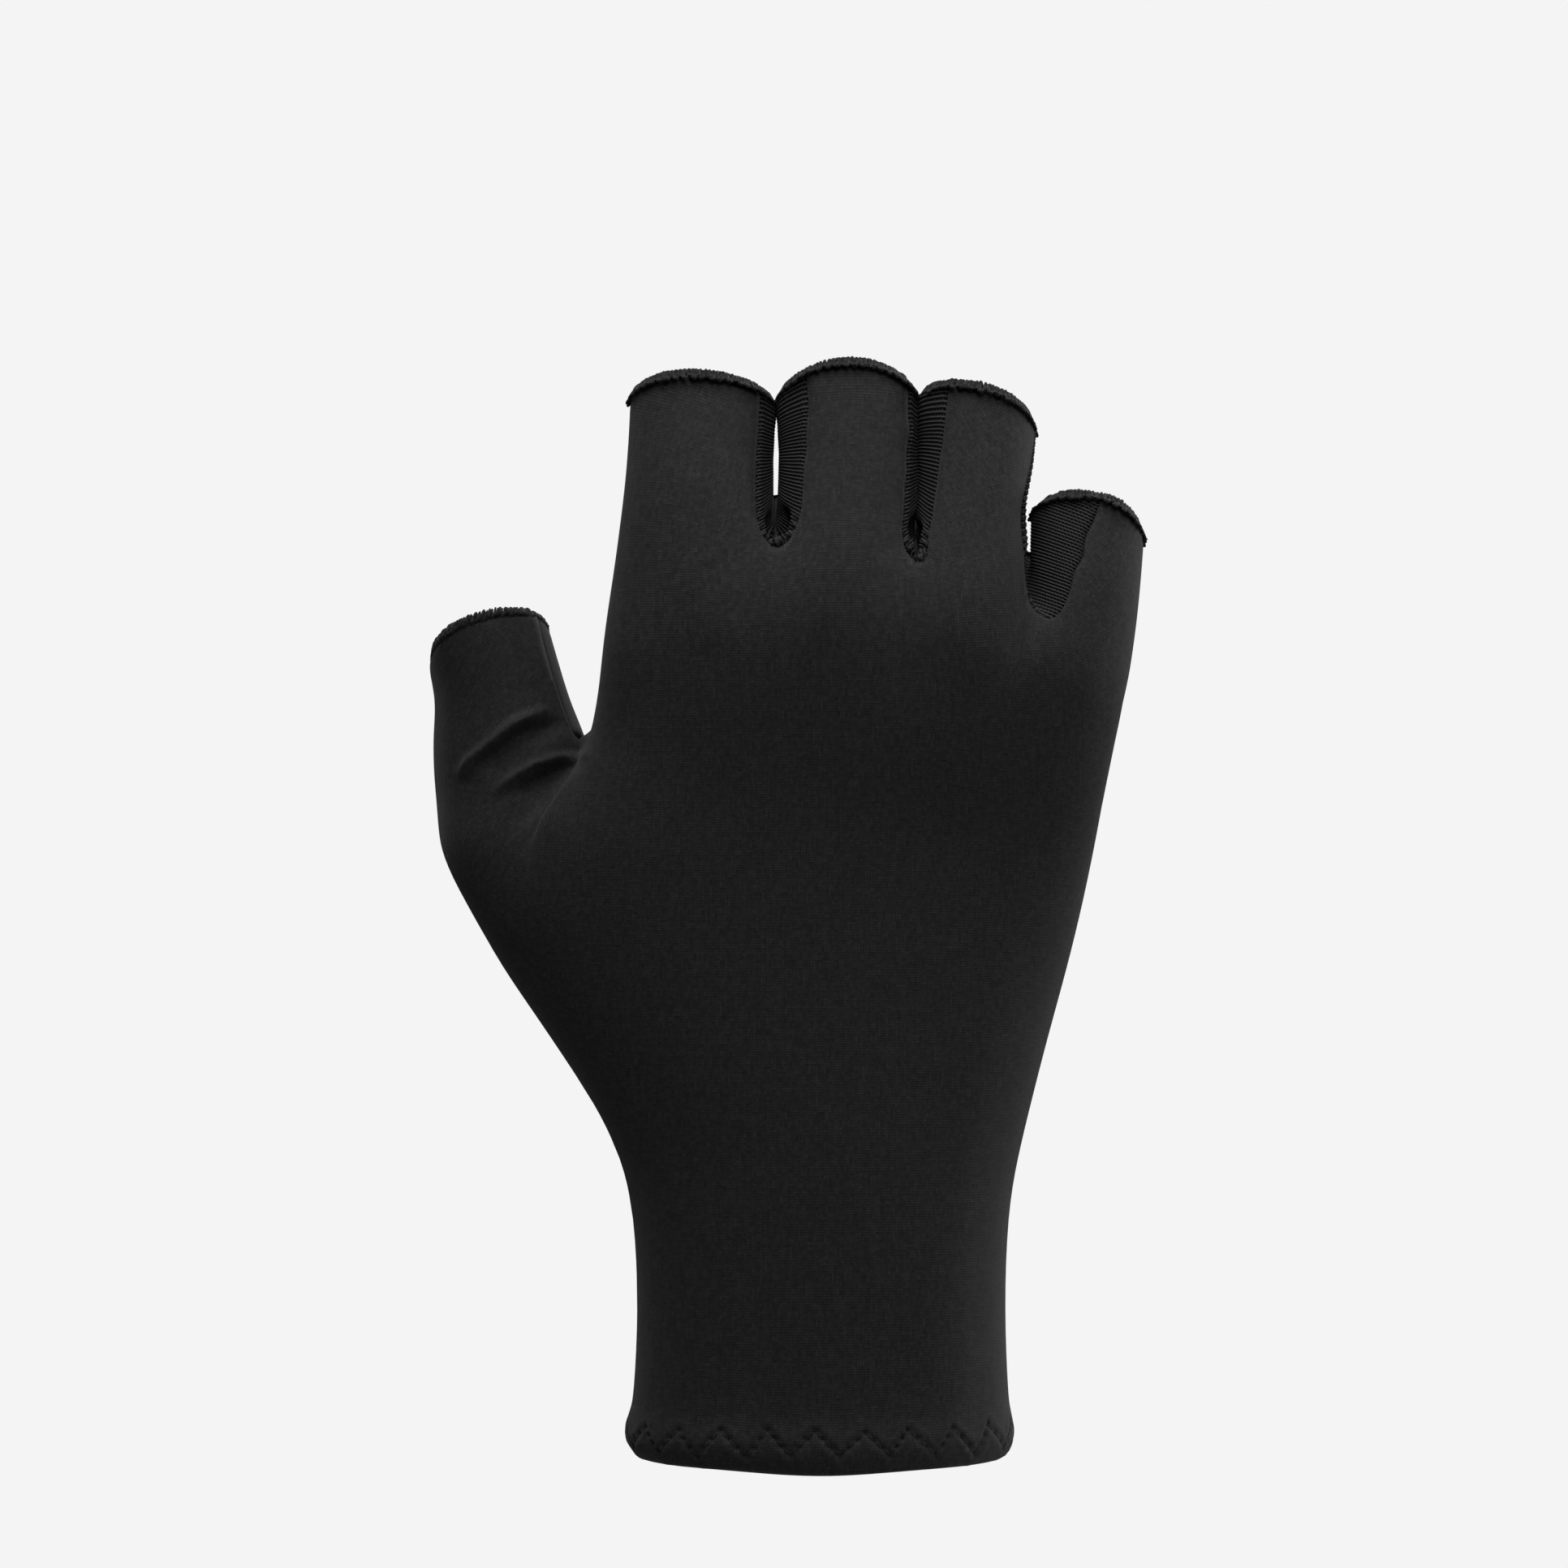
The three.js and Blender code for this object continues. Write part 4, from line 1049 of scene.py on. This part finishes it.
def make_gusset(pair):
    piece = SKINS[f"fourchette_{pair}"]
    split_along(piece, 5)
    ease_borders(piece, GUSSET_EASE)
    flat, mapped = map_of(piece), size_on_map(piece, 1)
    if pair == SLANTED_GUSSET[0]:
        lay_level(piece, SLANTED_GUSSET[1])
    shape_gusset(piece, pair, flat)
    lower_near(piece, border_points(piece, is_sewn), GUSSET_SINK, SEAM_FADE)
    ribs = 0.5 + 0.5 * np.cos(2 * math.pi * map_of(piece)[:, 0] / RIB)
    rise = normals_of(piece) * (RIB_HEIGHT * ribs)[:, None]
    thicken(piece, MESH)
    points = points_of(piece)
    points[:len(rise)] += rise  # the outer face comes first
    move_points(piece, points)
    declare_sheet(finish(piece, f"fourchette_{pair}", GUSSET_MESHES[pair], SEAM_RIM_SHADE), mapped)


# Thread edges

# How far each edge leans towards the finger before it and after it, in millimetres.
EDGE_LEAN = {"index": (0, 0.85), "middle": (0.85, 0.85), "ring": (0.85, 0)}
EDGE_SIDES = 6  # of a packed thread edge


def edge_line(finger):
    """The middle line of an opening's packed thread edge, as a closed row of points."""
    piece = packed_copy(f"{finger}_edge", "edge_guide")
    make_quads(piece)
    form = bmesh.new()
    form.from_mesh(piece.data)
    form.faces.ensure_lookup_table()

    def round_tube(loop):
        met = [loop]
        while len(met) < len(form.faces):
            loop = loop.link_loop_next.link_loop_next.link_loop_radial_next
            if loop == met[0]:
                break
            met.append(loop)
        return met

    first = form.faces[0].loops[0]
    if len(round_tube(first)) != EDGE_SIDES:
        first = first.link_loop_next
    line, loop = [], first
    while not line or loop != first:
        line.append(sum((part.vert.co for part in round_tube(loop)), Vector()) / EDGE_SIDES)
        loop = loop.link_loop_next.link_loop_radial_next.link_loop_next
    form.free()
    bpy.data.objects.remove(piece)
    line = np.array(line)
    for _ in range(3):
        between = (line + np.roll(line, -1, 0)) / 2
        line = (np.roll(line, 1, 0) + 6 * line + np.roll(line, -1, 0)) / 8
        line = np.stack([line, between], 1).reshape(-1, 3)
    return line


def unit(rows):
    return rows / np.linalg.norm(rows, axis=1)[:, None]


def evenly(line, spacing):
    """A closed row of points taken again at even steps, with the length of the row."""
    ring = np.vstack([line, line[:1]])
    lengths = np.concatenate([[0], np.cumsum(np.linalg.norm(np.diff(ring, axis=0), axis=1))])
    count = int(lengths[-1] / spacing)
    places = np.linspace(0, lengths[-1], count, endpoint=False)
    return np.stack([np.interp(places, lengths, ring[:, axis]) for axis in range(3)], 1), lengths[-1]


def edge_frame(finger):
    """Points along an opening's edge, with the ways up from the cloth and outwards, and its length."""
    line, length = evenly(EDGE_LINE[finger], EDGE_STEP)
    along = unit(np.roll(line, -1, 0) - np.roll(line, 1, 0))
    up = np.array([point - np.array(MOUTH_BORDERS.find(point)[0]) for point in line])
    for _ in range(12):
        up = (np.roll(up, 1, 0) + 2 * up + np.roll(up, -1, 0)) / 4
        up = unit(up - (up * along).sum(1)[:, None] * along)
    out = np.cross(along, up)
    if ((line - line.mean(0)) * out).sum() < 0:
        out = -out
    before, after = EDGE_LEAN.get(finger, (0, 0))
    lean = before * np.clip(-out[:, 0], 0, 1) ** 3 + after * np.clip(out[:, 0], 0, 1) ** 3
    return line + out * (lean * MM)[:, None], up, out, length


THREAD = 0.27  # radius of the bulky thread, in millimetres
EDGE_RISE = 0.55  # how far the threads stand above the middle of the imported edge, in millimetres
# The paths of one overlock stitch round a finger's edge and round the thumb's: part of the way along the
# stitch, and how far outwards and upwards from the middle of the edge, in millimetres.
FINGER_STITCH = [
    (0.06, 0.8, -1.3), (0.2, 0.98, -1.65), (0.4, 1, -1.65), (0.54, 0.88, -1.3),
    (0.62, 0.68, -0.55), (0.63, 0.54, 0.15), (0.58, 0.42, 0.62), (0.52, 0.05, 0.92),
    (0.46, -0.36, 0.66), (0.4, -0.52, 0.15), (0.34, -0.5, -0.3), (0.4, -0.52, -0.62),
    (0.62, -0.56, -0.72), (0.84, -0.56, -0.72), (1.04, -0.5, -0.5), (1.18, -0.52, -0.1),
    (1.14, -0.5, 0.4), (1.09, -0.25, 0.82), (1.04, 0.12, 0.9), (1, 0.44, 0.56),
    (0.98, 0.54, 0.12), (1, 0.54, -0.4),
]
THUMB_STITCH = [
    (0, 0.5, -0.68), (0.25, 0.6, -0.42), (0.5, 0.58, 0), (0.72, 0.46, 0.42),
    (0.85, 0.22, 0.78), (0.8, -0.22, 0.8), (0.72, -0.52, 0.3), (0.7, -0.56, -0.3),
    (0.8, -0.36, -0.72), (0.94, 0.12, -0.8),
]
STITCHES_OF = {"thumb": (THUMB_STITCH, 1.3)}  # the path and the stitch's length in millimetres
FINGER_STITCHES = (FINGER_STITCH, 1.42)
# The threads of an edge: what is added to the seed, the part of a stitch by which the thread starts later,
# its lowest point in millimetres, its radius as part of THREAD, and how uneven that is.
EDGE_THREADS = [(0, 0.0, -2.0, 1.0, 0.25), (10, 0.36, -1.2, 0.68, 0.3), (20, 0.7, -1.5, 0.62, 0.3)]
CORE_DROP, CORE_RADIUS = 0.25, 0.5  # of the core in the threads, painted dark as the shade in the gaps between them, in millimetres
DRAWN_IN = 0.6  # how much closer the threads lie to the edge at the finger's two sides
EDGE_STEP = 0.3 * MM  # between the points of an edge's frame
# How uneven the stitches are: their size, their place along the edge, and each point outwards and upwards.
SLACK, SLIP, SWAY_OUT, SWAY_UP = (0.86, 1.16), 0.12, 0.08, 0.09


def thread_line(finger, seed, start, lowest):
    """The path of an overlock thread round an opening's edge, started part of a stitch later."""
    line, up, out, length = edge_frame(finger)
    stitch_path, stitch_length = STITCHES_OF.get(finger, FINGER_STITCHES)
    dice = random.Random(seed)
    count = round(length / MM / stitch_length)
    places = np.arange(len(line) + 1) / len(line) * count
    ring = np.hstack([line, up, out])
    ring = np.vstack([ring, ring[:1]])
    path = []
    for stitch in range(count):
        slack = dice.uniform(*SLACK) * MM
        slip = dice.uniform(-SLIP, SLIP)
        for part, outwards, upwards in stitch_path:
            place = (stitch + start + part + slip) % count
            here = np.array([np.interp(place, places, ring[:, axis]) for axis in range(9)])
            outwards += dice.uniform(-SWAY_OUT, SWAY_OUT)
            outwards *= 1 - DRAWN_IN * here[6] ** 4
            upwards = max(upwards, lowest) + dice.uniform(-SWAY_UP, SWAY_UP)
            point = here[:3] + here[6:] * (outwards * slack)
            path.append(point + here[3:6] * (upwards * slack + EDGE_RISE * MM))
    return path


def lay_thread(name, paths, radius, closed=True, sides=2, uneven=0.0):
    """A round thread along each of some rows of points, as a mesh."""
    dice = random.Random(len(paths[0]))
    curve = bpy.data.curves.new(name, "CURVE")
    curve.dimensions = "3D"
    curve.bevel_depth = radius
    curve.bevel_resolution = sides
    curve.use_fill_caps = True
    for path in paths:
        spline = curve.splines.new("NURBS")
        spline.points.add(len(path) - 1)
        for point, place in zip(spline.points, path):
            point.co = (*place, 1)
            point.radius = 1 + dice.uniform(-uneven, uneven)
        spline.order_u = 3
        spline.resolution_u = 2
        spline.use_cyclic_u = closed
        spline.use_endpoint_u = not closed
    make_active(new_object(name, curve))
    bpy.ops.object.convert(target="MESH")
    return bpy.context.active_object


def join(pieces):
    make_active(pieces[0])
    for piece in pieces:
        piece.select_set(True)
    bpy.ops.object.join()
    return pieces[0]


def make_overlock(finger, seed):
    threads = []
    for later, start, lowest, share, uneven in EDGE_THREADS:
        path = thread_line(finger, seed + later, start, lowest)
        threads.append(lay_thread(f"{finger}_overlock", [path], share * THREAD * MM, sides=1, uneven=uneven))
        threads[-1].data.materials.append(EDGE_THREAD)
    line, up, _, _ = edge_frame(finger)
    middle = line[::2] + up[::2] * (EDGE_RISE - CORE_DROP) * MM
    # The core is painted near black, as painted shade in the gaps between the threads.
    core = lay_thread("core", [middle.tolist()], CORE_RADIUS * MM)
    core.data.materials.append(EDGE_CORE_SHADE)
    piece = join(threads + [core])
    finish(piece, f"{finger}_edge", EDGE_THREAD, EDGE_CORE_SHADE)


# Hem stitches

def on_wrist(panels, place, height):
    """The point of the hem's outer face at a place round the wrist and a height, and the way out there."""
    turn = np.interp(place % WRIST_GIRTH, WRIST_LENGTHS, WRIST_TURNS)
    way = Vector((math.sin(turn) * WAY_OUT, math.cos(turn), 0)).normalized()
    centre = Vector((0, 0, height * MM))
    start = centre + Vector((math.sin(turn), math.cos(turn), 0)) * OUTSIDE
    hits = [panel.ray_cast(start, (centre - start).normalized()) for panel in panels]
    hits = [hit for hit in hits if hit[0] is not None]
    nearest = min(hits, key=lambda hit: hit[3])
    return nearest[0], way


def make_hem_stitches(panels):
    panels = [BVHTree.FromObject(panel, bpy.context.evaluated_depsgraph_get()) for panel in panels]
    holes = needle_holes()
    paths = []
    for one, two in zip(holes, holes[1:] + holes[:1]):
        after = two[0] + (WRIST_GIRTH if two[0] < one[0] else 0)
        path = []
        for part, lift in HEM_STITCH:
            place = one[0] + (after - one[0]) * part + ZIGZAG_START
            point, way = on_wrist(panels, place, one[1] + (two[1] - one[1]) * part)
            path.append(point + way * lift * MM)
        paths.append(path)
    piece = lay_thread("hem_stitches", paths, HEM_THREAD * MM, closed=False, sides=0)
    finish(piece, None, HEM_STITCHES)


# Camera, light and floor

PHOTO_SCALE = 7.4  # photo pixels to a millimetre, at the middle of the glove
PHOTO_SIZE = 1932
EYE = (-5.8 * MM, -0.95, 111.4 * MM)


def make_camera():
    lens = bpy.data.cameras.new("camera")
    camera = new_object("camera", lens)
    camera.location = EYE
    camera.rotation_euler = (math.radians(90), 0, 0)
    lens.lens = lens.sensor_width * -EYE[1] / (PHOTO_SIZE / PHOTO_SCALE * MM)
    bpy.context.scene.camera = camera


def add_lamp(name, place, size, power):
    light = bpy.data.lights.new(name, "AREA")
    light.shape = "RECTANGLE"
    light.size, light.size_y = size
    light.energy = power
    lamp = new_object(name, light)
    lamp.location = place
    lamp.rotation_euler = (Vector(LIT_PLACE) - Vector(place)).to_track_quat("-Z", "Y").to_euler()


LAMPS = [  # name, place, size across and up, power
    ("above", (0.0, -0.5, 2.2), (1.4, 1.0), 18),
    ("above_front", (0.3, -1.6, 1.6), (1.2, 0.8), 11.5),
    ("right", (2.0, -0.2, 0.3), (0.8, 1.6), 8),
    ("right_back", (1.8, 0.8, 0.4), (0.6, 1.6), 10),
    ("above_back", (0.5, 1.7, 1.5), (1.2, 0.8), 12),
    ("above_left", (-0.8, -0.15, 2.3), (0.8, 0.6), 12),
]
LIT_PLACE = (0, 0, 0.1)  # the lamps are turned to here
AIR = 0.03  # brightness of the air round the glove
BACKDROP = 0.905  # brightness of the air as the camera sees it
FLOOR_HEIGHT = -1.1
FLOOR_GLOW = 0.6  # what the camera sees on top of the floor's own tone


def make_floor():
    bpy.ops.object.select_all(action="DESELECT")
    bpy.ops.mesh.primitive_plane_add(size=14, location=(0, 0, FLOOR_HEIGHT))
    floor = bpy.context.active_object
    floor.name = "floor"
    material, tree, shader = plain_material("pale_floor", (0.5, 0.5, 0.5), 0.9, 0, 0.5)
    # The camera sees the floor as pale as the air behind it, and the glove doesn't.
    path = add(tree, "ShaderNodeLightPath")
    glow = math_node(tree, "MULTIPLY", path.outputs["Is Camera Ray"], FLOOR_GLOW)
    feed(tree, shader, Emission_Color=(1, 1, 1, 1), Emission_Strength=glow)
    floor.data.materials.append(material)


def make_studio():
    for lamp in LAMPS:
        add_lamp(*lamp)
    world = bpy.data.worlds.new("studio")
    bpy.context.scene.world = world
    world.use_nodes = True
    tree = world.node_tree
    air = tree.nodes["Background"]
    feed(tree, air, Color=(1, 1, 1, 1), Strength=AIR)
    seen = add(tree, "ShaderNodeBackground")
    feed(tree, seen, Color=(BACKDROP, BACKDROP, BACKDROP, 1))
    choice = add(tree, "ShaderNodeMixShader")
    path = add(tree, "ShaderNodeLightPath")
    tree.links.new(path.outputs["Is Camera Ray"], choice.inputs[0])
    tree.links.new(air.outputs[0], choice.inputs[1])
    tree.links.new(seen.outputs[0], choice.inputs[2])
    tree.links.new(choice.outputs[0], tree.nodes["World Output"].inputs[0])
    bpy.context.scene.view_settings.view_transform = "Standard"


make_camera()
make_floor()
make_studio()

EDGE_LINE = {finger: edge_line(finger) for finger in OPENINGS}
EDGE_LINES = nearest_of([point for finger in OPENINGS for point in evenly(EDGE_LINE[finger], 0.03 * MM)[0]])

SKINS = {}
for node, name in [("back_panel", "back_panel_cloth"), ("palm_panel", "palm_panel_cloth")]:
    SKINS[node] = outer_face(node, name)
    flatten_panel(SKINS[node])
    subdivide_smoothly(SKINS[node], 2)
for pair in GUSSETS:
    node = f"fourchette_{pair}"
    SKINS[node] = outer_face(node, f"gusset_{pair}")
    flatten_strip(SKINS[node])
    subdivide_smoothly(SKINS[node], 3)
for skin in SKINS.values():
    nudge(skin)

MOUTH_BORDERS = nearest_of([
    points_of(skin)[index] for skin in SKINS.values() for index in border_ways(skin, is_mouth)])
close_seams(list(SKINS.values()))
WRIST_TURNS, WRIST_LENGTHS, WRIST_GIRTH = measure_wrist([SKINS["back_panel"], SKINS["palm_panel"]])

panels = [
    make_panel("back_panel", BACK_KNIT, shape_back),
    make_panel("palm_panel", PALM_KNIT),
]
for pair in GUSSETS:
    make_gusset(pair)
make_hem_stitches(panels)
for number, finger in enumerate(OPENINGS):
    make_overlock(finger, 10 + number)
